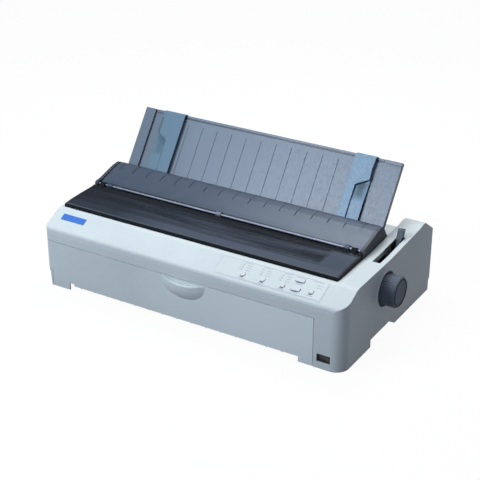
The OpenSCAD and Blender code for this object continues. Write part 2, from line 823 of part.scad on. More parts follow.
module wide_button_at(s) {
	color([0.86, 0.88, 0.89]) place() on_slope() translate([wide_x, s, 0]) {
		translate([0, 0, -wall - seat - 1])
			linear_extrude(wall + seat + 1 + button_rise)
				soft_square(-wide_button / 2, -wide_button_d / 2, wide_button / 2, wide_button_d / 2, [1.5, 1.5, 1.5, 1.5]);
		box([-wide_button / 2 - 1.4, -wide_button_d / 2 - 1, -wall - seat - flange_t],
			[wide_button / 2 + 1.4, wide_button_d / 2 + 1, -wall - seat]);
		button_stem();
	}
}

// Stem that presses the switch on the control board.
module button_stem() {
	bar_z(-wall - seat - flange_t - stem_l, -wall - seat - flange_t + 0.5, 0, 0, stem_r);
}

module font_button() {
	round_button(round_x[0], round_s);
}

module pitch_button() {
	round_button(round_x[1], round_s);
}

module tear_button() {
	round_button(round_x[2], round_s);
}

module pause_button() {
	round_button(round_x[3], last_s);
}

module load_button() {
	wide_button_at(wide_s[1]);
}

module feed_button() {
	wide_button_at(wide_s[0]);
}

module badge() {
	color([0.20, 0.38, 0.72]) place() on_slope()
		linear_extrude(0.8) soft_square(20, 20, 71, 33, [1, 1, 1, 1]);
}

// ---- covers and their cheeks ----

guide_pin = [guide_y + 4 * cos(guide_lean) + 3 * sin(guide_lean),
	guide_z - 4 * sin(guide_lean) + 3 * cos(guide_lean)];

module cheek(x) {
	difference() {
		union() {
			along_x(x, x + cheek_t)
				polygon([[rod_y - 6, ledge_z], [rod_y - 6, rod_z - 6], [rod_y, rod_z - 2], [rod_y + 2, rod_z + 5],
					[rod_y + 12, rod_z + 6.5], [rod_y + 52, rod_z + 17.5], [rod_y + 68, rod_z + 19],
					[rod_y + 75, rod_z + 16], [rod_y + 86, rod_z - 1], [cav_y1 - 1, ledge_z - 1], [cav_y1 - 1, ledge_z - 8],
					[cav_y1 - 18, ledge_z - 8], [cav_y1 - 24, ledge_z]]);
			bar_x(x, x + cheek_t, rod_y, rod_z, rod_r + 3);
		}
		bar_x(x - 1, x + cheek_t + 1, rod_y, rod_z, rod_r + run);
		bar_x(x - 1, x + cheek_t + 1, guide_pin[0], guide_pin[1], guide_pin_r + run);
	}
}

module cheeks() {
	color([0.22, 0.24, 0.27]) place() {
		difference() {
			union() {
				cheek(cheek_l);
				cheek(cheek_r);
			}
			// the part that overhangs the ledge stops at the cavity's edge
			box([0, cav_y1 - 0.3, 100], [body_w, cav_y1 + 20, 200]);
			box([cav_x0 - 1, 0, ledge_z - 20], [cav_x0 + ledge_w + slack, body_d, ledge_z]);
			box([cav_x1 - ledge_w - slack, 0, ledge_z - 20], [cav_x1 + 1, body_d, ledge_z]);
		}
	}
}

module hinge_rod() {
	color([0.75, 0.77, 0.80]) place() {
		bar_x(cheek_l, cheek_r + cheek_t, rod_y, rod_z, rod_r);
	}
}

window_x0 = cav_x0 + 1;
window_x1 = cav_x1 - 1;
window_y0 = cav_y0 + 0.8;
window_y1 = rod_y - rod_r - 5;
window_z = deck_h + window_rise;
window_lip = ledge_z + seat + 0.1;

function window_outline(k) = [
	[window_y0 + k, window_lip - 5], [window_y0 + k, window_z - 2 - k / 2], [window_y0 + 1.6 + k * 0.7, window_z - k],
	[window_y0 + 22, window_z + 2 - k], [window_y0 + 50, window_z + 3 - k], [window_y0 + 78, window_z + 3.5 - k],
	[window_y1 - 5, window_z + 3.8 - k], [window_y1 + k * 2, window_z + 5 - k], [window_y1 + k * 2, window_lip - 5]];

knuckle_w = 10;
knuckle_r = rod_r + 1.8;
window_knuckles = [cheek_l + cheek_t + 6, cheek_r - 6 - knuckle_w];
ribbed_knuckles = [cheek_l + cheek_t + 22, body_w / 2 - 30, cheek_r - 22 - knuckle_w];

module knuckle(x) {
	bar_x(x, x + knuckle_w, rod_y, rod_z, knuckle_r);
}

module printer_cover() {
	color([0.20, 0.23, 0.27, 0.75]) place() {
		difference() {
			union() {
				difference() {
					along_x(window_x0, window_x1) polygon(window_outline(0));
					along_x(window_x0 + window_t, window_x1 - window_t) polygon(window_outline(window_t));
					box([0, 0, 0], [body_w, body_d, window_lip]);
					// the rear corners clear the cheeks
					box([0, rod_y - 8, 0], [cheek_l + cheek_t + 1, 200, 200]);
					box([cheek_r - 1, rod_y - 8, 0], [body_w, 200, 200]);
					// room for the other cover's knuckles and the rod
					bar_x(0, body_w, rod_y, rod_z, rod_r + 1);
					// notches in the front lip
					for (x = [window_x0 + 17, window_x1 - 24]) {
						box([x, window_y0 - 1, 0], [x + 9, window_y0 + 3, deck_h + 2]);
					}
				}
				// strengthening rib behind the front lip
				box([window_x0 + 30, window_y0 + 8, window_z - 3], [window_x1 - 30, window_y0 + 9.6, window_z]);
				// hinge arms
				for (x = window_knuckles) {
					along_x(x, x + knuckle_w) polygon([[window_y1 - 8, window_z + 1], [window_y1 - 8, window_z + 3.6],
						[rod_y - 2, rod_z + rod_r + 1.6], [rod_y - 1, rod_z - rod_r - 1.6], [window_y1 - 4, window_z + 0.6]]);
					knuckle(x);
				}
			}
			bar_x(0, body_w, rod_y, rod_z, rod_r + run);
		}
	}
}

ribbed_x0 = cheek_l + cheek_t + 0.6;
ribbed_x1 = cheek_r - 0.6;
rb = rod_z + ribbed_rise;
ribbed_lip = 3;

// The ribs and end flanges run out to a lip at the rear edge, clear of the edge guides.
function ribbed_outline(k) = [
	[rod_y + knuckle_r + slack + 0.4, rod_z + 0.8 - k], [rod_y + ribbed_d * 0.2, rod_z + ribbed_rise * 0.27 - k],
	[rod_y + ribbed_d * 0.46, rod_z + ribbed_rise * 0.61 - k],
	[rod_y + ribbed_d * 0.71, rod_z + ribbed_rise * 0.9 - k], [rod_y + ribbed_d * 0.84, rb - 0.2 - k],
	[rod_y + ribbed_d * 0.93, rb - k], [rod_y + ribbed_d, rb - 1.4 - min(k, ribbed_lip)]];

function reversed(v) = [for (i = [len(v) - 1 : -1 : 0]) v[i]];

module sheet_guide_cover() {
	first_x = 58;
	count = floor((ribbed_x1 - 30 - first_x) / rib_pitch);
	color([0.30, 0.34, 0.39]) place() {
		difference() {
			union() {
				along_x(ribbed_x0, ribbed_x1) polygon(concat(ribbed_outline(0), reversed(ribbed_outline(ribbed_t))));
				// end flanges
				for (x = [ribbed_x0, ribbed_x1 - 2]) {
					along_x(x, x + 2) polygon(concat(ribbed_outline(0.5), reversed(ribbed_outline(7))));
				}
				// ribs on the underside, which the paper slides on
				for (i = [0 : count]) {
					x = first_x + i * rib_pitch;
					along_x(x - 0.9, x + 0.9) polygon(concat(ribbed_outline(0.5), reversed(ribbed_outline(4.5))));
				}
				for (x = ribbed_knuckles) {
					along_x(x, x + knuckle_w) polygon([[rod_y, rod_z + 3], [rod_y + 9, rod_z + 2], [rod_y + 9, rod_z - 0.4],
						[rod_y, rod_z - 4]]);
					knuckle(x);
				}
			}
			bar_x(0, body_w, rod_y, rod_z, rod_r + run);
			// tick grooves near the rear edge, one over each rib
			for (i = [0 : count]) {
				x = first_x + i * rib_pitch;
				translate([x - 0.8, rod_y + ribbed_d * 0.57, rod_z + ribbed_rise * 0.735 - 0.9])
					rotate([atan2(ribbed_rise * 0.29, ribbed_d * 0.25), 0, 0]) cube([1.6, 19, 4]);
			}
		}
	}
}

// ---- sheet guide ----

guide_x1 = cheek_r - 0.8;
guide_len = (guide_top - guide_z) / cos(guide_lean);
band_w = 21;
groove_x0 = 123;
groove_n = floor((guide_x1 - 100 - groove_x0) / rib_pitch);

module sheet_guide() {
	color([0.40, 0.44, 0.50]) place() {
		on_guide() difference() {
			union() {
				box([guide_x0, 0, -2], [guide_x1, guide_t, guide_len]);
				// rear flanges: two sides, the top and two stiffeners
				box([guide_x0, 0, -2], [guide_x0 + 2.2, guide_flange, guide_len]);
				box([guide_x1 - 2.2, 0, -2], [guide_x1, guide_flange, guide_len]);
				box([guide_x0, 0, guide_len - 2.2], [guide_x1, 5, guide_len]);
				for (x = [guide_x0 + 150, guide_x1 - 150]) {
					box([x, 0, 8], [x + 2, 5, guide_len - 1]);
				}
				// raised band at the left, with its dark groove beside it
				box([guide_x0, -2, 12], [guide_x0 + band_w + 1, 1, guide_len]);
				// tab at the top right
				box([guide_x1 - 30, -1.2, guide_len - 6], [guide_x1, 1, guide_len]);
				// rolled lip along the top
				box([guide_x0 + band_w + 4, -0.8, guide_len - 4], [guide_x1 - 34, 1, guide_len]);
				// pivot bosses
				bar_x(guide_x0, guide_x0 + 6, 4, 3, guide_pin_r + 2);
				bar_x(guide_x1 - 6, guide_x1, 4, 3, guide_pin_r + 2);
				bar_x(cheek_l + 1, guide_x0 + 1, 4, 3, guide_pin_r);
				bar_x(guide_x1 - 1, cheek_r + cheek_t - 1, 4, 3, guide_pin_r);
			}
			// grooves that the sheets slide over
			for (i = [0 : groove_n]) {
				x = groove_x0 + i * rib_pitch;
				box([x - 0.7, -1, 22], [x + 0.7, 0.8, guide_len - 17]);
			}
			box([guide_x0 + band_w + 1, -3, 10], [guide_x0 + band_w + 4.5, 1.8, guide_len + 1]);
		}
	}
}

edge_t = 1.8;
edge_tray_w = edge_left_w / 2;
edge_low = 15;
edge_top = guide_len - 2;

// Edge guide from its inner edge to its outer edge, with a finger recess along the outer side.
module edge_guide(inner, outer) {
	out = outer > inner ? 1 : -1;
	div = outer - out * edge_tray_w;
	face0 = -edge_gap - edge_t;
	foot1 = -slack - 0.8;
	notch = guide_len * 0.6;
	color([0.45, 0.63, 0.72]) place() on_guide() {
		// face that keeps the sheets flat, cut away over the recess
		translate([0, face0 + edge_t, 0]) rotate([90, 0, 0]) linear_extrude(edge_t)
			polygon([[inner, edge_low], [inner, edge_top], [outer, edge_top], [outer - out * 1.5, edge_top - 22],
				[outer, notch + 14], [div, notch], [div, edge_low]]);
		// wall that the sheets' edge runs along, and the outer wall above the recess
		guide_wall(div, out, face0, foot1, edge_low, edge_top);
		guide_wall(outer - out * 1.5, out, face0, foot1, notch + 12, edge_top);
		// floor of the recess, deepest under the notch
		along_x(min(div, outer), max(div, outer))
			polygon([[-5.5, edge_low], [-5.5, notch - 28], [-3, notch + 6], [-3, notch + 16], [foot1, notch + 16],
				[foot1, edge_low]]);
		// sloping roof and hook over the top edge
		along_x(min(inner, outer), max(inner, outer))
			polygon([[face0, edge_top - 1.6], [face0, edge_top], [foot1, guide_len + slack + 1.2],
				[6.5 + slack, guide_len + slack + 1.2], [6.5 + slack, guide_len - 8], [5 + slack, guide_len - 8],
				[5 + slack, guide_len + slack], [foot1, guide_len + slack]]);
	}
}

module guide_wall(x, out, y0, y1, z0, z1) {
	box([min(x, x - out * 1.6), y0, z0], [max(x, x - out * 1.6), y1, z1]);
}

module edge_guide_left() {
	edge_guide(edge_left_x + edge_left_w, edge_left_x);
}

module edge_guide_right() {
	edge_guide(edge_right_x, edge_right_x + edge_right_w);
}

// ---- knob, platen and paper feed ----

module knob() {
	x0 = body_w - knob_recess + 1.5;
	x1 = body_w + knob_out;
	color([0.23, 0.23, 0.26]) place() {
		difference() {
			union() {
				bar_x(x0, x1 - 2, platen_y, platen_z, knob_r - 0.8);
				translate([x1 - 2, platen_y, platen_z]) rotate([0, 90, 0]) cylinder(h = 2, r1 = knob_r - 0.8, r2 = knob_r - 2.8);
				for (i = [0 : knob_ridges - 1]) {
					a = i * 360 / knob_ridges;
					translate([body_w + 1, platen_y, platen_z]) rotate([a, 0, 0])
						translate([0, knob_r - 1.6, -1.3]) cube([knob_out - 4, 1.6, 2.6]);
				}
			}
			bar_x(x0 - 1, x1 - 6, platen_y, platen_z, shaft_r + run);
			// shallow dish in the outer face
			bar_x(x1 - 0.8, x1 + 1, platen_y, platen_z, knob_r - 6);
		}
	}
}

module platen_shaft() {
	color([0.70, 0.71, 0.73]) place() {
		bar_x(outer_gear_x0 - 1, body_w + knob_out - 6.2, platen_y, platen_z, shaft_r);
	}
}

platen_x0 = frame_x0 + 16;
platen_x1 = frame_x1 - 16;

module platen() {
	color([0.10, 0.10, 0.11]) place() {
		difference() {
			bar_x(platen_x0, platen_x1, platen_y, platen_z, platen_r);
			bar_x(platen_x0 - 1, platen_x1 + 1, platen_y, platen_z, shaft_r);
		}
	}
}

module platen_gear() {
	color([0.88, 0.88, 0.84]) place() {
		difference() {
			union() {
				gear_at(gear_x0, gear_x1, platen_y, platen_z, platen_teeth, 0, shaft_r + 3);
				bar_x(gear_x0 - 0.5, gear_x1, platen_y, platen_z, shaft_r + 3.2);
			}
			bar_x(gear_x0 - 1, gear_x1 + 1, platen_y, platen_z, shaft_r);
			for (a = [0 : 60 : 300]) {
				bar_x(gear_x0 - 1, gear_x1 + 1, platen_y + 15.5 * cos(a + 30), platen_z + 15.5 * sin(a + 30), 4);
			}
		}
	}
}

module idler_gear() {
	color([0.88, 0.88, 0.84]) place() {
		gear_at(gear_x0, gear_x1, idler_y, tractor_z, idler_teeth, idler_p, stud_r + run);
	}
}

module reduction_gear() {
	color([0.88, 0.88, 0.84]) place() {
		gear_at(gear_x0, gear_x1, reducer_y, reducer_z, small_teeth, small_p, stud_r + run);
		gear_at(outer_gear_x0, outer_gear_x1, reducer_y, reducer_z, large_teeth, large_p, stud_r + run);
		difference() {
			bar_x(outer_gear_x1 - 0.5, gear_x0 + 0.5, reducer_y, reducer_z, stud_r + 3);
			bar_x(outer_gear_x1 - 1, gear_x0 + 1, reducer_y, reducer_z, stud_r + run);
		}
	}
}

motor_shaft_r = 2.5;

module feed_motor() {
	color([0.55, 0.56, 0.58]) place() {
		bar_x(frame_x0, frame_x0 + 34, motor_y, motor_z, motor_r);
		bar_x(frame_x0, frame_x0 + 1.5, motor_y, motor_z, motor_r + 2);
		for (a = [-20, 160]) {
			bar_x(frame_x0, frame_x0 + 1.5, motor_y + 24 * cos(a), motor_z + 24 * sin(a), 4);
		}
	}
}

module feed_pinion() {
	color([0.80, 0.68, 0.36]) place() {
		gear_at(outer_gear_x0, outer_gear_x1, motor_y, motor_z, pinion_teeth, pinion_p, motor_shaft_r);
		bar_x(outer_gear_x0 - 1, frame_x0 - slack, motor_y, motor_z, motor_shaft_r);
	}
}

tractor_low = [tractor_y + 12, tractor_z - 8];

module tractor_shaft() {
	color([0.70, 0.71, 0.73]) place() {
		bar_x(gear_x0 - 1, frame_x1 + frame_t + 3, tractor_y, tractor_z, tractor_r);
		gear_at(gear_x0, gear_x1, tractor_y, tractor_z, tractor_teeth, tractor_p, tractor_r - 0.5);
	}
}

// ---- frames ----

bail_pivot = [platen_y + 41, platen_z + 20];
base_y0 = bulkhead_y + 10;
base_y1 = cav_y1 - 4;
bail_r = 2.5;

module frame_outline() {
	polygon([[base_y0, base_z], [base_y0, platen_z - 14], [rail_y - 23, platen_z - 8],
		[rail_y - 9, platen_z + 20], [rail_y + 19, platen_z + 20], [platen_y - 28, platen_z - 4],
		[platen_y - 18, platen_z - 8], [platen_y - 10, platen_z + 30], [platen_y + 20, platen_z + 36],
		[platen_y + 60, platen_z + 36], [platen_y + 86, platen_z + 20], [base_y1, platen_z + 4],
		[base_y1, base_z]]);
}

module frame_holes(x0, x1) {
	bar_x(x0, x1, platen_y, platen_z, shaft_r + run);
	bar_x(x0, x1, tractor_y, tractor_z, tractor_r + run);
	bar_x(x0, x1, rail_y, rail_z, rail_r);
	bar_x(x0, x1, tractor_low[0], tractor_low[1], 3);
	bar_x(x0, x1, bail_pivot[0], bail_pivot[1], bail_r + run);
	bar_x(x0, x1, platen_y - 22, base_top + 20, 10);
	bar_x(x0, x1, base_y1 - 20, base_top + 20, 8);
}

module left_frame() {
	x0 = frame_x0 - frame_t;
	color([0.66, 0.68, 0.70]) place() {
		difference() {
			along_x(x0, frame_x0) frame_outline();
			frame_holes(x0 - 1, frame_x0 + 1);
			bar_x(x0 - 1, frame_x0 + 1, motor_y, motor_z, motor_shaft_r + 1);
		}
		// gear studs
		bar_x(outer_gear_x0 - 2, x0 + 0.5, reducer_y, reducer_z, stud_r);
		bar_x(gear_x0 - 1.5, x0 + 0.5, idler_y, tractor_z, stud_r);
		bar_x(outer_gear_x0 - 3, outer_gear_x0 - slack, reducer_y, reducer_z, stud_r + 1);
		bar_x(gear_x0 - 1.8, gear_x0 - slack, idler_y, tractor_z, stud_r + 1);
	}
}

lever_pivot = [200, 56];

module right_frame() {
	x1 = frame_x1 + frame_t;
	color([0.66, 0.68, 0.70]) place() {
		difference() {
			along_x(frame_x1, x1) frame_outline();
			frame_holes(frame_x1 - 1, x1 + 1);
		}
		// stud of the release lever
		bar_x(x1 - 0.5, slot_x + slot_w / 2 + lever_w / 2 + 3, lever_pivot[0], lever_pivot[1], stud_r);
		bar_x(slot_x + slot_w / 2 + lever_w / 2 + slack, slot_x + slot_w / 2 + lever_w / 2 + 3,
			lever_pivot[0], lever_pivot[1], stud_r + 2);
	}
}

module base_plate() {
	color([0.66, 0.68, 0.70]) place() {
		difference() {
			box([frame_x0, base_y0, base_z], [frame_x1, base_y1, base_top]);
			for (i = [0 : 3]) {
				bar_z(base_z - 1, base_top + 1, frame_x0 + frame_w * (0.21 + 0.215 * i), platen_y + 8, 22);
			}
		}
		// folded edges
		difference() {
			box([frame_x0, base_y0, base_z], [frame_x1, base_y0 + base_t, base_z + 9]);
			bar_y(base_y0 - 1, base_y0 + 2, motor2_x, motor2_z, motor2_r + 1);
		}
		box([frame_x0, base_y1 - base_t, base_z], [frame_x1, base_y1, base_z + 9]);
		// bracket of the carriage motor
		difference() {
			box([motor2_x - motor2_r - 0.5, motor2_y1, base_z], [motor2_x + motor2_r + 0.5, motor2_y1 + 1.5,
				motor2_z + motor2_r - 4]);
			bar_y(motor2_y1 - 1, motor2_y1 + 3, motor2_x, motor2_z, 4);
		}
		// bracket of the idler pulley
		difference() {
			box([pulley2_x - 12, belt_y1 + 4, base_z], [pulley2_x + 12, belt_y1 + 5.5, motor2_z + 10]);
			bar_y(belt_y1 + 3, belt_y1 + 7, pulley2_x - 8, base_z + 10, 3);
		}
		bar_y(belt_y0 - 2, belt_y1 + 4.5, pulley2_x, motor2_z, 2);
	}
}

module paper_chute() {
	inner = platen_r + 2;
	lip_y = platen_y + sqrt(inner * inner - 12.8 * 12.8) + 0.3;
	color([0.17, 0.18, 0.20]) place() {
		difference() {
			bar_x(frame_x0, frame_x1, platen_y, platen_z, inner + 1.5);
			bar_x(frame_x0 - 1, frame_x1 + 1, platen_y, platen_z, inner);
			// open at the top and in front
			box([frame_x0 - 1, platen_y - 40, platen_z - 12], [frame_x1 + 1, platen_y + 40, platen_z + 40]);
			box([frame_x0 - 1, platen_y - 40, platen_z - 40], [frame_x1 + 1, platen_y - 14, platen_z + 40]);
		}
		// guide plate towards the tractors
		along_x(frame_x0, frame_x1)
			polygon([[lip_y, platen_z - 12.8], [lip_y + 9, platen_z - 9], [tractor_y - 22, platen_z - 5],
				[tractor_y - 22, platen_z - 6.5], [lip_y + 9, platen_z - 10.5], [lip_y, platen_z - 14.3]]);
	}
}

// ---- carriage ----

belt_y0 = 68;
belt_y1 = 74;
motor2_x = 62;
motor2_z = 44.5;
motor2_r = 17.5;
motor2_y0 = bulkhead_y + wall + 0.5;
motor2_y1 = belt_y0 - 3.6;
pulley2_x = 512;
belt_t = 1.2;
rail_top = 86;
rail_low = motor2_z + motor2_r + 0.6;
head_y1 = platen_y - platen_r - 2.9 - nose_gap;

module guide_shafts() {
	color([0.78, 0.79, 0.81]) place() {
		bar_x(frame_x0 - frame_t, frame_x1 + frame_t, rail_y, rail_z, rail_r);
		bar_x(frame_x0 - frame_t, frame_x1 + frame_t, tractor_low[0], tractor_low[1], 3);
	}
}

module front_rail() {
	color([0.66, 0.68, 0.70]) place() {
		y0 = base_y0 + base_t;
		box([frame_x0, y0 + 1.4, rail_low], [frame_x1, y0 + 2.8, rail_top]);
		box([frame_x0, y0 + 1.4, rail_top - 1.4], [frame_x1, y0 + 14.8, rail_top]);
		for (x = [frame_x0, frame_x1 - 12]) {
			box([x, y0, base_z + 5], [x + 12, y0 + 2.8, rail_low + 1]);
		}
	}
}

module carriage() {
	x0 = head_x - carriage_w / 2;
	x1 = head_x + carriage_w / 2;
	color([0.15, 0.16, 0.18]) place() {
		difference() {
			union() {
				box([x0, belt_y1 + 6, 50], [x1, rail_y + 18, 84]);
				// tongue that rides on the front rail
				box([head_x - 14, 64, rail_top + slack], [head_x + 14, belt_y1 + 8, rail_top + slack + 2.4]);
				box([head_x - 14, belt_y1 + 2, 80], [head_x + 14, belt_y1 + 8, rail_top + slack + 2.4]);
				// belt clamp
				box([head_x - 9, belt_y0 - 2, motor2_z + pulley_r - 4], [head_x + 9, belt_y1 + 7, motor2_z + pulley_r + 5]);
			}
			bar_x(x0 - 1, x1 + 1, rail_y, rail_z, rail_r + run);
			// slot for the belt
			box([head_x - 10, belt_y0 - slack, motor2_z + pulley_r - slack - 0.2],
				[head_x + 10, belt_y1 + slack, motor2_z + pulley_r + belt_t + slack + 0.2]);
			// seat of the print head
			box([head_x - 20, rail_y - 6, 78], [head_x + 20, rail_y + 30, 90]);
		}
	}
}

module print_head() {
	nose_z = platen_z;
	color([0.30, 0.31, 0.34]) place() {
		difference() {
			box([head_x - 20, rail_y - 6, 78], [head_x + 20, rail_y + 24, 106]);
			// cooling fins
			for (i = [0 : 4]) {
				box([head_x - 21, rail_y - 2 + i * 4.6, 90], [head_x + 21, rail_y + 0.4 + i * 4.6, 107]);
			}
		}
		along_x(head_x - 8, head_x + 8) polygon([[rail_y + 23, nose_z - 8], [head_y1, nose_z - 3], [head_y1, nose_z + 3],
			[rail_y + 23, nose_z + 8]]);
	}
}

module timing_belt() {
	r1 = pulley_r + belt_t;
	color([0.08, 0.08, 0.09]) place() {
		difference() {
			union() {
				bar_y(belt_y0, belt_y1, motor2_x, motor2_z, r1);
				bar_y(belt_y0, belt_y1, pulley2_x, motor2_z, r1);
				box([motor2_x, belt_y0, motor2_z - r1], [pulley2_x, belt_y1, motor2_z + r1]);
			}
			bar_y(belt_y0 - 1, belt_y1 + 1, motor2_x, motor2_z, pulley_r + run);
			bar_y(belt_y0 - 1, belt_y1 + 1, pulley2_x, motor2_z, pulley_r + run);
			box([motor2_x, belt_y0 - 1, motor2_z - pulley_r - run], [pulley2_x, belt_y1 + 1, motor2_z + pulley_r + run]);
		}
	}
}

module drive_pulley() {
	color([0.70, 0.71, 0.73]) place() {
		bar_y(belt_y0, belt_y1, motor2_x, motor2_z, pulley_r);
		bar_y(belt_y0 - 1.4, belt_y0 - 0.2, motor2_x, motor2_z, pulley_r + 2.5);
		bar_y(motor2_y1 + seat, belt_y1 + 1, motor2_x, motor2_z, 2.5);
	}
}

module idler_pulley() {
	color([0.88, 0.88, 0.84]) place() {
		difference() {
			union() {
				bar_y(belt_y0, belt_y1, pulley2_x, motor2_z, pulley_r);
				bar_y(belt_y0 - 1.4, belt_y0 - 0.2, pulley2_x, motor2_z, pulley_r + 2.5);
				bar_y(belt_y0 - 1.4, belt_y1, pulley2_x, motor2_z, 4);
			}
			bar_y(belt_y0 - 3, belt_y1 + 1, pulley2_x, motor2_z, 2 + run);
		}
	}
}

module carriage_motor() {
	color([0.55, 0.56, 0.58]) place() {
		bar_y(motor2_y0, motor2_y1, motor2_x, motor2_z, motor2_r);
	}
}

// ---- ribbon ----

cart_z0 = rail_top + slack + 3.4;
cart_z1 = cart_z0 + 17;
cart_y0 = 57;
cart_y1 = rail_y - 8.5;
arm_y1 = platen_y - platen_r - 1.2;

module ribbon_cartridge() {
	color([0.13, 0.14, 0.15]) place() {
		box([platen_x0 + 2, cart_y0, cart_z0], [platen_x1 - 2, cart_y1, cart_z1]);
		// arms that carry the ribbon to the platen
		for (x = [platen_x0 + 2, platen_x1 - 14]) {
			box([x, cart_y1 - 1, cart_z0], [x + 12, arm_y1, cart_z0 + 10]);
		}
		// feet on the side frames
		for (x = [frame_x0, platen_x1 - 3]) {
			box([x, 74, cart_z0 + 2], [x + platen_x0 + 3 - frame_x0, 82, cart_z0 + 6]);
		}
		// raised lid on the cartridge
		box([platen_x0 + 46, cart_y0 + 3, cart_z1 - 0.5], [platen_x1 - 8, cart_y1 - 3, cart_z1 + 1.5]);
	}
}

module ribbon() {
	y0 = arm_y1 - 0.8;
	color([0.05, 0.05, 0.06]) place() {
		box([platen_x0 + 14, y0 - 0.4, cart_z0 + 1], [platen_x1 - 14, y0, cart_z0 + 9]);
	}
}

ribbon_knob_x = platen_x0 + 24;

module ribbon_knob() {
	cy = (cart_y0 + cart_y1) / 2;
	color([0.35, 0.37, 0.40]) place() {
		bar_z(cart_z1 + seat, cart_z1 + 7, ribbon_knob_x, cy, 9);
		box([ribbon_knob_x - 8, cy - 1.2, cart_z1 + 6], [ribbon_knob_x + 8, cy + 1.2, cart_z1 + 11]);
	}
}

// ---- paper bail ----

bail_a = 120;
bail_d = platen_r + 4.6;
bail_rod = [platen_y + bail_d * cos(bail_a), platen_z + bail_d * sin(bail_a)];
bail_arm_x = [frame_x0 + 5, frame_x1 - 8];

module paper_bail() {
	dy = bail_rod[0] - bail_pivot[0];
	dz = bail_rod[1] - bail_pivot[1];
	reach = norm([dy, dz]);
	color([0.70, 0.71, 0.73]) place() {
		bar_x(bail_arm_x[0], bail_arm_x[1] + 3, bail_rod[0], bail_rod[1], 2);
		for (x = bail_arm_x) {
			bar_x(x, x + 3, bail_pivot[0], bail_pivot[1], 5);
			bar_x(x, x + 3, bail_rod[0], bail_rod[1], 4);
			translate([x + 0.4, bail_pivot[0], bail_pivot[1]]) rotate([atan2(dz, dy), 0, 0])
				translate([0, 0, -2.8]) cube([2.2, reach, 5.6]);
		}
		bar_x(frame_x0 - frame_t, bail_arm_x[0] + 1, bail_pivot[0], bail_pivot[1], bail_r);
		bar_x(bail_arm_x[1] + 2, frame_x1 + frame_t, bail_pivot[0], bail_pivot[1], bail_r);
	}
}

module bail_rollers() {
	color([0.12, 0.12, 0.13]) place() {
		for (i = [0 : 4]) {
			x = platen_x0 + 40 + i * (platen_x1 - platen_x0 - 92) / 4;
			difference() {
				bar_x(x, x + 12, bail_rod[0], bail_rod[1], 4.3);
				bar_x(x - 1, x + 13, bail_rod[0], bail_rod[1], 2);
			}
		}
	}
}

// ---- tractors ----

sprocket_r = 9;
sprocket_w = 5;

module tractor(x) {
	x1 = x + tractor_w;
	mid = x + tractor_w / 2;
	color([0.24, 0.25, 0.28]) place() {
		difference() {
			along_x(x, x1) polygon([[tractor_y - 18, tractor_z + 2], [tractor_y - 16, tractor_z - 4],
				[tractor_y - 8, tractor_z - 13], [tractor_y + 12, tractor_z - 15], [tractor_y + 18, tractor_z - 10],
				[tractor_y + 18, tractor_z + 4], [tractor_y + 12, tractor_z + sprocket_r - 0.6],
				[tractor_y - 12, tractor_z + sprocket_r - 0.6]]);
			// pocket of the sprocket
			bar_x(mid - sprocket_w / 2 - 0.6, mid + sprocket_w / 2 + 0.6, tractor_y, tractor_z, sprocket_r + 3.2);
			bar_x(x - 1, x1 + 1, tractor_y, tractor_z, tractor_r + run);
			bar_x(x - 1, x1 + 1, tractor_low[0], tractor_low[1], 3 + run);
		}
		// hinge pin of the door
		for (y = [tractor_y - 14, tractor_y + 10]) {
			box([x, y, tractor_z + sprocket_r - 1], [x + 4, y + 3, tractor_z + sprocket_r + 3]);
		}
		bar_y(tractor_y - 14, tractor_y + 13, x + 2, tractor_z + sprocket_r + 3.4, 1.5);
	}
}

module sprocket(x) {
	mid = x + tractor_w / 2;
	color([0.82, 0.82, 0.80]) place() {
		difference() {
			union() {
				bar_x(mid - sprocket_w / 2, mid + sprocket_w / 2, tractor_y, tractor_z, sprocket_r);
				for (a = [22.5 : 45 : 360]) {
					translate([mid, tractor_y, tractor_z]) rotate([a, 0, 0]) translate([0, 0, sprocket_r - 0.5])
						cylinder(h = 2.6, r1 = 1.6, r2 = 0.9);
				}
			}
			bar_x(mid - sprocket_w, mid + sprocket_w, tractor_y, tractor_z, tractor_r + run);
		}
	}
}

module tractor_door(x) {
	mid = x + tractor_w / 2;
	z0 = tractor_z + sprocket_r + 3.4;
	color([0.30, 0.31, 0.34]) place() {
		difference() {
			union() {
				bar_y(tractor_y - 10.6, tractor_y + 9.6, x + 2, z0, 3);
				box([x + 2, tractor_y - 10.6, z0], [x + tractor_w, tractor_y + 9.6, z0 + 2]);
				box([x + 6, tractor_y - 15, z0], [x + tractor_w, tractor_y + 15, z0 + 2]);
			}
			bar_y(tractor_y - 12, tractor_y + 12, x + 2, z0, 1.5 + run);
			// slot for the pins
			box([mid - 2.4, tractor_y - 12, z0 - 1], [mid + 2.4, tractor_y + 12, z0 + 3]);
		}
	}
}

module tractor_left() {
	tractor(tractor_x_left);
}

module tractor_right() {
	tractor(tractor_x_right);
}

module sprocket_left() {
	sprocket(tractor_x_left);
}

module sprocket_right() {
	sprocket(tractor_x_right);
}

module tractor_door_left() {
	tractor_door(tractor_x_left);
}

module tractor_door_right() {
	tractor_door(tractor_x_right);
}

// ---- lever, switch, boards and sockets ----

lever_x = slot_x + (slot_w - lever_w) / 2;
lever_a = atan2(slot_y1 - 9.5 - lever_pivot[0], deck_h - lever_pivot[1]);
lever_len = (lever_top - lever_pivot[1]) / cos(lever_a);

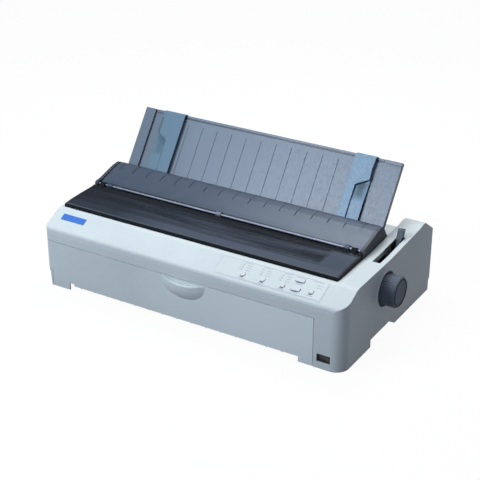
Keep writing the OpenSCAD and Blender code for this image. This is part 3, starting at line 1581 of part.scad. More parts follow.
module release_lever() {
	color([0.30, 0.45, 0.50]) place() {
		difference() {
			union() {
				bar_x(frame_x1 + frame_t + slack, lever_x + lever_w, lever_pivot[0], lever_pivot[1], 6);
				translate([0, lever_pivot[0], lever_pivot[1]]) rotate([-lever_a, 0, 0]) {
					box([lever_x + 0.5, -4, 0], [lever_x + lever_w - 0.5, 4, lever_len - 5]);
					// ribbed head
					box([lever_x - 0.8, -4.8, lever_len - 22], [lever_x + lever_w + 0.8, 4.8, lever_len]);
					for (i = [0 : 4]) {
						box([lever_x - 1.2, -5.4, lever_len - 20 + i * 4], [lever_x + lever_w + 1.2, 5.4, lever_len - 18 + i * 4]);
					}
				}
			}
			bar_x(frame_x1, lever_x + lever_w + 1, lever_pivot[0], lever_pivot[1], stud_r + run);
		}
	}
}

// Room in the floor for the body of the switch.
module switch_pocket() {
	box([switch_x - 1.5, wall, switch_z - 1.5], [switch_x + switch_w + 1.5, switch_d + 7, floor_top + 1]);
}

module switch_hole() {
	box([switch_x, -1, switch_z], [switch_x + switch_w, wall + 4, switch_z + switch_h]);
}

rocker_y = 7;
switch_d = 24;
rocker_mid = switch_x + switch_w / 2;

module switch_housing() {
	g = 0.1;
	color([0.06, 0.06, 0.07]) place() {
		difference() {
			union() {
				box([switch_x + g, 0.4, switch_z + g], [switch_x + switch_w - g, switch_d, switch_z + switch_h - g]);
				box([switch_x - 1, wall + 0.1, switch_z - 1], [switch_x + switch_w + 1, wall + 1.6, switch_z + switch_h + 1]);
			}
			box([switch_x + 1.5, -1, switch_z + 1.5], [switch_x + switch_w - 1.5, 15, switch_z + switch_h - 1.5]);
			bar_z(switch_z + 0.6, switch_z + switch_h - 0.6, rocker_mid, rocker_y, 1.2 + run);
		}
		for (i = [-1, 0, 1]) {
			box([rocker_mid + i * 7 - 2, switch_d - 0.5, switch_z + 4], [rocker_mid + i * 7 + 2, switch_d + 6, switch_z + 5]);
		}
	}
}

module power_switch() {
	half = switch_w / 2 - 2.2;
	color([0.05, 0.05, 0.06]) place()
		translate([rocker_mid, rocker_y, 0]) rotate([0, 0, -7]) difference() {
			union() {
				translate([0, 0, switch_z + 2]) linear_extrude(switch_h - 4)
					polygon([[-half, -4.6], [0, -3.4], [half, -4.6], [half, -1], [3, 4], [-3, 4], [-half, -1]]);
				bar_z(switch_z + 0.8, switch_z + switch_h - 0.8, 0, 0, 1.2);
			}
			// raised mark: a bar at one end
			translate([-half + 3, -6, switch_z + 5]) cube([1, 1.7, switch_h - 10]);
		}
}

module chip(x, y, w, d, h) {
	box([x, y, board_z + 1.4], [x + w, y + d, board_z + 1.6 + h]);
}

module main_board() {
	z1 = board_z + 1.6;
	color([0.16, 0.38, 0.22]) place() {
		box([main_x0, board_y0, board_z], [main_x1, board_y1, z1]);
		chip(main_x0 + 40, board_y0 + 20, 24, 24, 3);
		chip(main_x0 + 90, board_y0 + 18, 34, 14, 4);
		chip(main_x0 + 140, board_y0 + 20, 28, 10, 4);
		chip(main_x0 + 190, board_y0 + 14, 18, 18, 3);
		for (i = [0 : 4]) {
			bar_z(z1 - 0.2, z1 + 13, main_x1 - 45 + (i % 3) * 14, board_y0 + 20 + floor(i / 3) * 18, 5);
		}
		box([main_x0 + 10, board_y0 + 8, z1 - 0.2], [main_x0 + 16, board_y0 + 50, z1 + 9]);
	}
}

module power_board() {
	z1 = board_z + 1.6;
	color([0.55, 0.42, 0.22]) place() {
		box([power_x0, board_y0, board_z], [power_x1, board_y1, z1]);
		// transformer
		box([power_x0 + 60, board_y0 + 16, z1 - 0.2], [power_x0 + 104, board_y0 + 50, z1 + 32]);
		box([power_x0 + 66, board_y0 + 10, z1 + 5], [power_x0 + 98, board_y0 + 56, z1 + 27]);
		// smoothing capacitors
		bar_z(z1 - 0.2, z1 + 34, power_x0 + 30, board_y0 + 24, 12);
		bar_z(z1 - 0.2, z1 + 26, power_x0 + 30, board_y0 + 56, 10);
		// cooling plate with fins
		for (i = [0 : 5]) {
			box([power_x0 + 116, board_y0 + 8 + i * 6, z1 + 2], [power_x0 + 136, board_y0 + 10 + i * 6, z1 + 30]);
		}
		box([power_x0 + 116, board_y0 + 8, z1 - 0.2], [power_x0 + 136, board_y0 + 40, z1 + 3]);
	}
}

module rear_sockets() {
	z1 = socket_z0;
	y1 = body_d;
	color([0.08, 0.08, 0.09]) place() {
		// mains inlet
		difference() {
			union() {
				box([inlet_x - 13.8, body_d - 26, inlet_z - 10.3], [inlet_x + 13.8, y1, inlet_z + 10.3]);
				box([inlet_x - 16, body_d - wall - 1.6, inlet_z - 12.4], [inlet_x + 16, body_d - wall - 0.1, inlet_z + 12.4]);
			}
			box([inlet_x - 11.5, body_d - 18, inlet_z - 8], [inlet_x + 11.5, body_d + 2, inlet_z + 8]);
		}
		for (p = [[-7, -2], [7, -2], [0, 2]]) {
			box([inlet_x + p[0] - 1, body_d - 19, inlet_z + p[1] - 2], [inlet_x + p[0] + 1, body_d - 4, inlet_z + p[1] + 2]);
		}
		box([inlet_x - 10, body_d - 24, z1], [inlet_x + 10, body_d - 20, inlet_z - 9]);
		// parallel socket
		difference() {
			box([parallel_x - 31.8, board_y1 - 20, z1], [parallel_x + 31.8, y1, z1 + 15.2]);
			box([parallel_x - 28, body_d - 9, z1 + 3.5], [parallel_x + 28, body_d + 2, z1 + 11.5]);
		}
		box([parallel_x - 24, body_d - 10, z1 + 6.3], [parallel_x + 24, body_d - 5.5, z1 + 8.7]);
		// serial bus socket
		difference() {
			box([bus_x - 6.5, board_y1 - 16, z1], [bus_x + 6.5, y1, z1 + 11.8]);
			box([bus_x - 4.3, body_d - 12, z1 + 2], [bus_x + 4.3, body_d + 2, z1 + 9.6]);
		}
		box([bus_x - 2.3, body_d - 13, z1 + 4.2], [bus_x + 2.3, body_d - 5.5, z1 + 7.2]);
	}
}

lower_case();
upper_case();
rubber_feet();
case_screws();
front_cover();
badge();
panel_film();
panel_lenses();
control_board();
font_button();
pitch_button();
tear_button();
load_button();
feed_button();
pause_button();
cheeks();
hinge_rod();
printer_cover();
sheet_guide_cover();
sheet_guide();
edge_guide_left();
edge_guide_right();
knob();
platen_shaft();
platen();
platen_gear();
idler_gear();
tractor_shaft();
reduction_gear();
feed_motor();
feed_pinion();
base_plate();
left_frame();
right_frame();
paper_chute();
guide_shafts();
front_rail();
carriage();
print_head();
timing_belt();
drive_pulley();
idler_pulley();
carriage_motor();
ribbon_cartridge();
ribbon();
ribbon_knob();
paper_bail();
bail_rollers();
tractor_left();
tractor_right();
sprocket_left();
sprocket_right();
tractor_door_left();
tractor_door_right();
release_lever();
main_board();
power_board();
rear_sockets();
switch_housing();
power_switch();
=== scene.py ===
import math

import bpy
import numpy as np
from mathutils import Matrix, Vector


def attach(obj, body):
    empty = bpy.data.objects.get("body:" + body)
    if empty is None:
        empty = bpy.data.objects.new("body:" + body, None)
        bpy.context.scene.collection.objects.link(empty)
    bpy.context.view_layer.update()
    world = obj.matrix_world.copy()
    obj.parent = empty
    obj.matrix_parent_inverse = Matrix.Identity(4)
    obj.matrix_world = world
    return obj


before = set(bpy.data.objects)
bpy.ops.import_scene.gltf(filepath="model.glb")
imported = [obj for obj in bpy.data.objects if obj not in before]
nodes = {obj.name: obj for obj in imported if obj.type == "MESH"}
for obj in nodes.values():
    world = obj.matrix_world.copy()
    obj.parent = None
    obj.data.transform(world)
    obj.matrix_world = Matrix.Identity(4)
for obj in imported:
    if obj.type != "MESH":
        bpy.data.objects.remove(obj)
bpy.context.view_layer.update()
print("frame loaded,", len(nodes), "nodes")

# The frame is in metres. The printer stands on z = 0, centred on the origin, its front towards -y.
mm = 0.001
bodyShift = Vector((-0.3195, -0.1725, 0.0))  # where the front left corner of the case stands in the frame

# Small helpers for shader trees. A value given to them is a number, a colour or another node's output.


def newGroup(name, inputs, outputs):
    group = bpy.data.node_groups.new(name, "ShaderNodeTree")
    kinds = {"f": "NodeSocketFloat", "c": "NodeSocketColor", "v": "NodeSocketVector"}
    for label, kind, value in inputs:
        socket = group.interface.new_socket(name=label, in_out="INPUT", socket_type=kinds[kind])
        if value is not None:
            socket.default_value = value
    for label, kind in outputs:
        group.interface.new_socket(name=label, in_out="OUTPUT", socket_type=kinds[kind])
    return group, group.nodes.new("NodeGroupInput"), group.nodes.new("NodeGroupOutput")


def useGroup(tree, group, **values):
    node = tree.nodes.new("ShaderNodeGroup")
    node.node_tree = group
    for key, value in values.items():
        feed(tree, value, node.inputs[key.replace("_", " ")])
    return node


def feed(tree, value, socket):
    if isinstance(value, bpy.types.NodeSocket):
        tree.links.new(value, socket)
    else:
        socket.default_value = value


def mathNode(tree, operation, a, b=None, clamp=False):
    node = tree.nodes.new("ShaderNodeMath")
    node.operation = operation
    node.use_clamp = clamp
    feed(tree, a, node.inputs[0])
    if b is not None:
        feed(tree, b, node.inputs[1])
    return node.outputs[0]


def vectorNode(tree, operation, a, b):
    node = tree.nodes.new("ShaderNodeVectorMath")
    node.operation = operation
    tree.links.new(a, node.inputs[0])
    tree.links.new(b, node.inputs[1])
    return node


def splitVector(tree, vector):
    node = tree.nodes.new("ShaderNodeSeparateXYZ")
    tree.links.new(vector, node.inputs[0])
    return node.outputs


def mixColours(tree, factor, a, b):
    node = tree.nodes.new("ShaderNodeMix")
    node.data_type = "RGBA"
    factorSocket, firstColour, secondColour = (node.inputs[i] for i in (0, 6, 7))
    feed(tree, factor, factorSocket)
    feed(tree, a, firstColour)
    feed(tree, b, secondColour)
    return node.outputs[2]


def noise(tree, vector, scale, detail, roughness):
    node = tree.nodes.new("ShaderNodeTexNoise")
    node.inputs["Detail"].default_value = detail
    node.inputs["Roughness"].default_value = roughness
    tree.links.new(vector, node.inputs["Vector"])
    feed(tree, scale, node.inputs["Scale"])
    return node.outputs["Fac"]


def remap(tree, value, given, wanted):
    node = tree.nodes.new("ShaderNodeMapRange")
    node.inputs["From Min"].default_value, node.inputs["From Max"].default_value = given
    feed(tree, wanted[0], node.inputs["To Min"])
    feed(tree, wanted[1], node.inputs["To Max"])
    tree.links.new(value, node.inputs["Value"])
    return node.outputs["Result"]


def opaque(tone):
    return tuple(tone) + (1,)


def scaled(tone, share):
    return tuple(c * share for c in tone)


# Shader groups that the finishes share. Each puts out colours, masks, values or normals only.

skinGrain = {
    "cloudScale": 9.0, "cloudSpan": (0.3, 0.7),  # slow drift between the two tones
    "speckScale": 260.0, "speckSpan": (0.35, 0.65), "speckShare": 0.05, "speckTone": (0.2, 0.2, 0.22, 1),
    "roughSpan": (0.3, 0.7), "speckHeight": 0.5,
}


def buildMouldedSkin():
    # Fine spark-eroded grain with a slow change of tone, for moulded plastic.
    group, given, put = newGroup("mouldedSkin",
        [("Place", "v", None), ("Tone", "c", (0.5, 0.5, 0.5, 1)), ("Deep Tone", "c", (0.4, 0.4, 0.4, 1)),
         ("Grain Scale", "f", 900.0), ("Roughness", "f", 0.5), ("Roughness Spread", "f", 0.08)],
        [("Colour", "c"), ("Roughness", "f"), ("Height", "f")])
    look, spot = skinGrain, given.outputs["Place"]
    grain = noise(group, spot, given.outputs["Grain Scale"], detail=1.0, roughness=0.6)
    cloud = noise(group, spot, look["cloudScale"], detail=3.0, roughness=0.55)
    speck = noise(group, spot, look["speckScale"], detail=2.0, roughness=0.6)
    tone = mixColours(group, remap(group, cloud, look["cloudSpan"], (0.0, 1.0)), given.outputs["Tone"],
        given.outputs["Deep Tone"])
    tone = mixColours(group, remap(group, speck, look["speckSpan"], (0.0, look["speckShare"])), tone,
        look["speckTone"])
    group.links.new(tone, put.inputs["Colour"])
    low = mathNode(group, "SUBTRACT", given.outputs["Roughness"], given.outputs["Roughness Spread"])
    high = mathNode(group, "ADD", given.outputs["Roughness"], given.outputs["Roughness Spread"])
    group.links.new(remap(group, speck, look["roughSpan"], (low, high)), put.inputs["Roughness"])
    height = mathNode(group, "ADD", grain, mathNode(group, "MULTIPLY", speck, look["speckHeight"]))
    group.links.new(height, put.inputs["Height"])
    return group


def buildEdgeMask():
    # 1 on a rounded edge and 0 on a flat, from how far the bevelled normal turns away from the face's own.
    group, given, put = newGroup("edgeMask", [("Radius", "f", 0.0006), ("Sharpness", "f", 4.0)],
        [("Mask", "f"), ("Normal", "v")])
    bevel = group.nodes.new("ShaderNodeBevel")
    bevel.samples = 4
    group.links.new(given.outputs["Radius"], bevel.inputs["Radius"])
    geometry = group.nodes.new("ShaderNodeNewGeometry")
    dot = vectorNode(group, "DOT_PRODUCT", bevel.outputs[0], geometry.outputs["Normal"])
    turned = mathNode(group, "SUBTRACT", 1.0, dot.outputs["Value"])
    mask = mathNode(group, "MULTIPLY", turned, given.outputs["Sharpness"], True)
    group.links.new(mask, put.inputs["Mask"])
    group.links.new(bevel.outputs[0], put.inputs["Normal"])
    return group


def buildBrushedLines():
    # Fine lines along one axis, for drawn rod, rolled sheet and the lighter streaks of the smoked cover.
    group, given, put = newGroup("brushedLines", [("Place", "v", None), ("Stretch", "v", (1.0, 60.0, 60.0))],
        [("Fac", "f"), ("Height", "f")])
    drawn = vectorNode(group, "MULTIPLY", given.outputs["Place"], given.outputs["Stretch"])
    lines = noise(group, drawn.outputs[0], 30.0, detail=4.0, roughness=0.7)
    group.links.new(lines, put.inputs["Fac"])
    group.links.new(lines, put.inputs["Height"])
    return group


dustSettings = {"faceUp": (0.2, 1.0), "scale": 38.0, "span": (0.4, 0.75), "least": 0.15}


def buildDustFilm():
    # Thin uneven dust, thicker where the face looks up.
    group, given, put = newGroup("dustFilm", [("Place", "v", None), ("Amount", "f", 0.1)], [("Mask", "f")])
    look = dustSettings
    geometry = group.nodes.new("ShaderNodeNewGeometry")
    upward = remap(group, splitVector(group, geometry.outputs["Normal"])["Z"], look["faceUp"], (0.0, 1.0))
    cloud = noise(group, given.outputs["Place"], look["scale"], detail=5.0, roughness=0.65)
    uneven = remap(group, cloud, look["span"], (look["least"], 1.0))
    mask = mathNode(group, "MULTIPLY", mathNode(group, "MULTIPLY", upward, uneven), given.outputs["Amount"], True)
    group.links.new(mask, put.inputs["Mask"])
    return group


def buildSlabMask():
    # 1 inside the box from Low to High, fading over Softness: the smallest distance to its six sides.
    group, given, put = newGroup("slabMask",
        [("Place", "v", None), ("Low", "v", (0, 0, 0)), ("High", "v", (0, 0, 0)), ("Softness", "f", 0.0003)],
        [("Mask", "f")])
    sides = []
    for a, b in (("Place", "Low"), ("High", "Place")):
        gap = vectorNode(group, "SUBTRACT", given.outputs[a], given.outputs[b])
        sides += list(splitVector(group, gap.outputs[0]))
    least = sides[0]
    for side in sides[1:]:
        least = mathNode(group, "MINIMUM", least, side)
    group.links.new(mathNode(group, "DIVIDE", least, given.outputs["Softness"], True), put.inputs["Mask"])
    return group


def buildTickMask():
    # 1 on lines a pitch apart along x: how far x is from the nearest whole number of pitches, against half a width.
    group, given, put = newGroup("tickMask",
        [("Place", "v", None), ("First", "f", 0.0), ("Pitch", "f", 0.032), ("Half Width", "f", 0.001)],
        [("Mask", "f")])
    fade = 0.3 * mm
    x = splitVector(group, given.outputs["Place"])["X"]
    along = mathNode(group, "DIVIDE", mathNode(group, "SUBTRACT", x, given.outputs["First"]),
        given.outputs["Pitch"])
    off = mathNode(group, "ABSOLUTE", mathNode(group, "SUBTRACT", along, mathNode(group, "ROUND", along)))
    off = mathNode(group, "MULTIPLY", off, given.outputs["Pitch"])
    edge = mathNode(group, "SUBTRACT", given.outputs["Half Width"], off)
    group.links.new(mathNode(group, "DIVIDE", edge, fade, True), put.inputs["Mask"])
    return group


mouldedSkin = buildMouldedSkin()
edgeMask = buildEdgeMask()
brushedLines = buildBrushedLines()
dustFilm = buildDustFilm()
slabMask = buildSlabMask()
tickMask = buildTickMask()
print("shader groups built")

# Materials. Each finish is one function, fed by a dictionary of its looks.


def startMaterial(name):
    material = bpy.data.materials.new(name)
    material.use_nodes = True
    tree = material.node_tree
    tree.nodes.clear()
    shader = tree.nodes.new("ShaderNodeBsdfPrincipled")
    out = tree.nodes.new("ShaderNodeOutputMaterial")
    tree.links.new(shader.outputs[0], out.inputs["Surface"])
    coords = tree.nodes.new("ShaderNodeTexCoord")
    return material, tree, shader, coords.outputs["Object"]


def addBump(tree, shader, height, strength, distance, normal=None):
    bump = tree.nodes.new("ShaderNodeBump")
    bump.inputs["Strength"].default_value = strength
    bump.inputs["Distance"].default_value = distance
    tree.links.new(height, bump.inputs["Height"])
    if normal is not None:
        tree.links.new(normal, bump.inputs["Normal"])
    tree.links.new(bump.outputs[0], shader.inputs["Normal"])


def onBody(x, y, z):
    # A point in mm from the case's front left corner, as metres in the frame.
    return tuple(Vector((x, y, z)) * mm + bodyShift)


def patch(low, high, tone, **more):
    # A place painted with a tone, which on several finishes is painted light or shade: a box between two corners in mm
    # on the case. soft is the width of its fading rim in mm, share its strength, ticks the first line, pitch and half
    # width of lines that fill it, cover how far it hides what is behind clear plastic, and matt its least roughness
    # there.
    return {"low": low, "high": high, "tone": tone, "soft": 0.3, "share": 1.0, **more}


def boxMask(tree, spot, area):
    return useGroup(tree, slabMask, Place=spot, Low=onBody(*area["low"]), High=onBody(*area["high"]),
        Softness=area["soft"] * mm).outputs["Mask"]


def paintPatches(tree, spot, colour, areas):
    for area in areas:
        mask = boxMask(tree, spot, area)
        if "ticks" in area:
            first, pitch, half = area["ticks"]
            lines = useGroup(tree, tickMask, Place=spot, First=first * mm + bodyShift.x, Pitch=pitch * mm,
                Half_Width=half * mm).outputs["Mask"]
            mask = mathNode(tree, "MULTIPLY", mask, lines)
        colour = mixColours(tree, mathNode(tree, "MULTIPLY", mask, area["share"]), colour, opaque(area["tone"]))
    return colour


plasticDefaults = {
    "deepShare": 0.93, "grainScale": 900.0, "spread": 0.07, "bump": 0.12, "bumpDepth": 0.0002,
    "edge": 0.0007, "sharpness": 3.0, "edgeWearAndShading": 0.25,  # how far the rounded edges show their edge tone: wear, painted highlight on the knob and lever, painted shadow on the buttons
    "wornShare": 1.25, "wornLift": 0.02,  # that tone, where paintedEdgeShadingTone doesn't give it
    "dust": 0.06, "dustTone": (0.58, 0.60, 0.61),
    "specular": 0.45, "specularTint": (1.0, 1.0, 1.0), "coatRoughness": 0.15, "patches": (),
}


def plastic(name, look):
    look = {**plasticDefaults, **look}
    material, tree, shader, spot = startMaterial(name)
    tone = look["tone"]
    skin = useGroup(tree, mouldedSkin, Place=spot, Tone=opaque(tone), Deep_Tone=opaque(scaled(tone, look["deepShare"])),
        Grain_Scale=look["grainScale"], Roughness=look["roughness"], Roughness_Spread=look["spread"])
    edge = useGroup(tree, edgeMask, Radius=look["edge"], Sharpness=look["sharpness"])
    dust = useGroup(tree, dustFilm, Place=spot, Amount=look["dust"])
    # Rounded edges take a tone of their own: worn, painted highlight on the knob and lever, painted shadow on the
    # buttons.
    edgeWearAndShadingTone = look.get("paintedEdgeShadingTone", [min(1.0, c * look["wornShare"] + look["wornLift"]) for c in tone])
    colour = mixColours(tree, mathNode(tree, "MULTIPLY", edge.outputs["Mask"], look["edgeWearAndShading"]),
        skin.outputs["Colour"], opaque(edgeWearAndShadingTone))
    colour = mixColours(tree, dust.outputs["Mask"], colour, opaque(look["dustTone"]))
    colour = paintPatches(tree, spot, colour, look["patches"])
    tree.links.new(colour, shader.inputs["Base Color"])
    tree.links.new(skin.outputs["Roughness"], shader.inputs["Roughness"])
    addBump(tree, shader, skin.outputs["Height"], look["bump"], look["bumpDepth"], edge.outputs["Normal"])
    shader.inputs["Specular IOR Level"].default_value = look["specular"]
    shader.inputs["Specular Tint"].default_value = opaque(look["specularTint"])
    if "coat" in look:
        shader.inputs["Coat Weight"].default_value = look["coat"]
        shader.inputs["Coat Roughness"].default_value = look["coatRoughness"]
    return material


rubberShine = {"specular": 0.3}


def rubber(name, look):
    return plastic(name, {**look, **rubberShine})


metalDefaults = {
    "span": (0.3, 0.7), "darkShare": 0.72, "brightShare": 1.3, "edgeWearAndShading": 0.5, "smooth": 0.8, "rough": 1.25,
    "edge": 0.0004, "sharpness": 3.0, "bump": 0.15, "bumpDepth": 0.0001, "metallic": 1.0,
}


def metal(name, look):
    look = {**metalDefaults, **look}
    material, tree, shader, spot = startMaterial(name)
    tone = look["tone"]
    lines = useGroup(tree, brushedLines, Place=spot, Stretch=look["stretch"])
    edge = useGroup(tree, edgeMask, Radius=look["edge"], Sharpness=look["sharpness"])
    colour = mixColours(tree, remap(tree, lines.outputs["Fac"], look["span"], (0.0, 1.0)), opaque(tone),
        opaque(scaled(tone, look["darkShare"])))
    colour = mixColours(tree, mathNode(tree, "MULTIPLY", edge.outputs["Mask"], look["edgeWearAndShading"]), colour,
        opaque(min(1.0, c) for c in scaled(tone, look["brightShare"])))
    tree.links.new(colour, shader.inputs["Base Color"])
    rough = (look["roughness"] * look["smooth"], look["roughness"] * look["rough"])
    tree.links.new(remap(tree, lines.outputs["Fac"], look["span"], rough), shader.inputs["Roughness"])
    shader.inputs["Metallic"].default_value = look["metallic"]
    addBump(tree, shader, lines.outputs["Height"], look["bump"], look["bumpDepth"], edge.outputs["Normal"])
    return material


def smoked(name, look):
    # Dark clear plastic: the inner parts show through where no patch covers them, in long soft streaks.
    material, tree, shader, spot = startMaterial(name)
    tone = look["tone"]
    skin = useGroup(tree, mouldedSkin, Place=spot, Tone=opaque(tone), Deep_Tone=opaque(scaled(tone, look["deepShare"])),
        Grain_Scale=look["grainScale"], Roughness=look["roughness"], Roughness_Spread=look["spread"])
    streak = useGroup(tree, brushedLines, Place=spot, Stretch=look["streakStretch"]).outputs["Fac"]
    streak = remap(tree, streak, look["streakSpan"], (0.0, 1.0))
    colour = mixColours(tree, mathNode(tree, "MULTIPLY", streak, look["streakShare"]), skin.outputs["Colour"],
        opaque(look["streakTone"]))
    tree.links.new(paintPatches(tree, spot, colour, look["patches"]), shader.inputs["Base Color"])
    solid = mathNode(tree, "ADD", look["cover"], mathNode(tree, "MULTIPLY", streak, look["streakCover"]))
    rough = skin.outputs["Roughness"]
    for area in look["patches"]:
        mask = boxMask(tree, spot, area)
        solid = mathNode(tree, "MAXIMUM", solid, mathNode(tree, "MULTIPLY", mask, area["cover"]))
        rough = mathNode(tree, "MAXIMUM", rough, mathNode(tree, "MULTIPLY", mask, area.get("matt", 0.0)))
    tree.links.new(rough, shader.inputs["Roughness"])
    tree.links.new(mathNode(tree, "MINIMUM", solid, 1.0), shader.inputs["Alpha"])
    addBump(tree, shader, skin.outputs["Height"], look["bump"], look["bumpDepth"])
    shader.inputs["Specular IOR Level"].default_value = look["specular"]
    return material


# Looks of the finishes. Tones are linear, lengths in metres, patches in mm on the case.

caseTone = (0.665, 0.728, 0.717)
trayPaintedShade = {"tone": (0.065, 0.135, 0.175), "soft": 8.0}  # painted shade in the sunk face of an edge guide, under its notch
lipDarkAndShadeTone = (0.006, 0.008, 0.012)  # the side lips of the smoked cover: opaque dark rims with painted shade

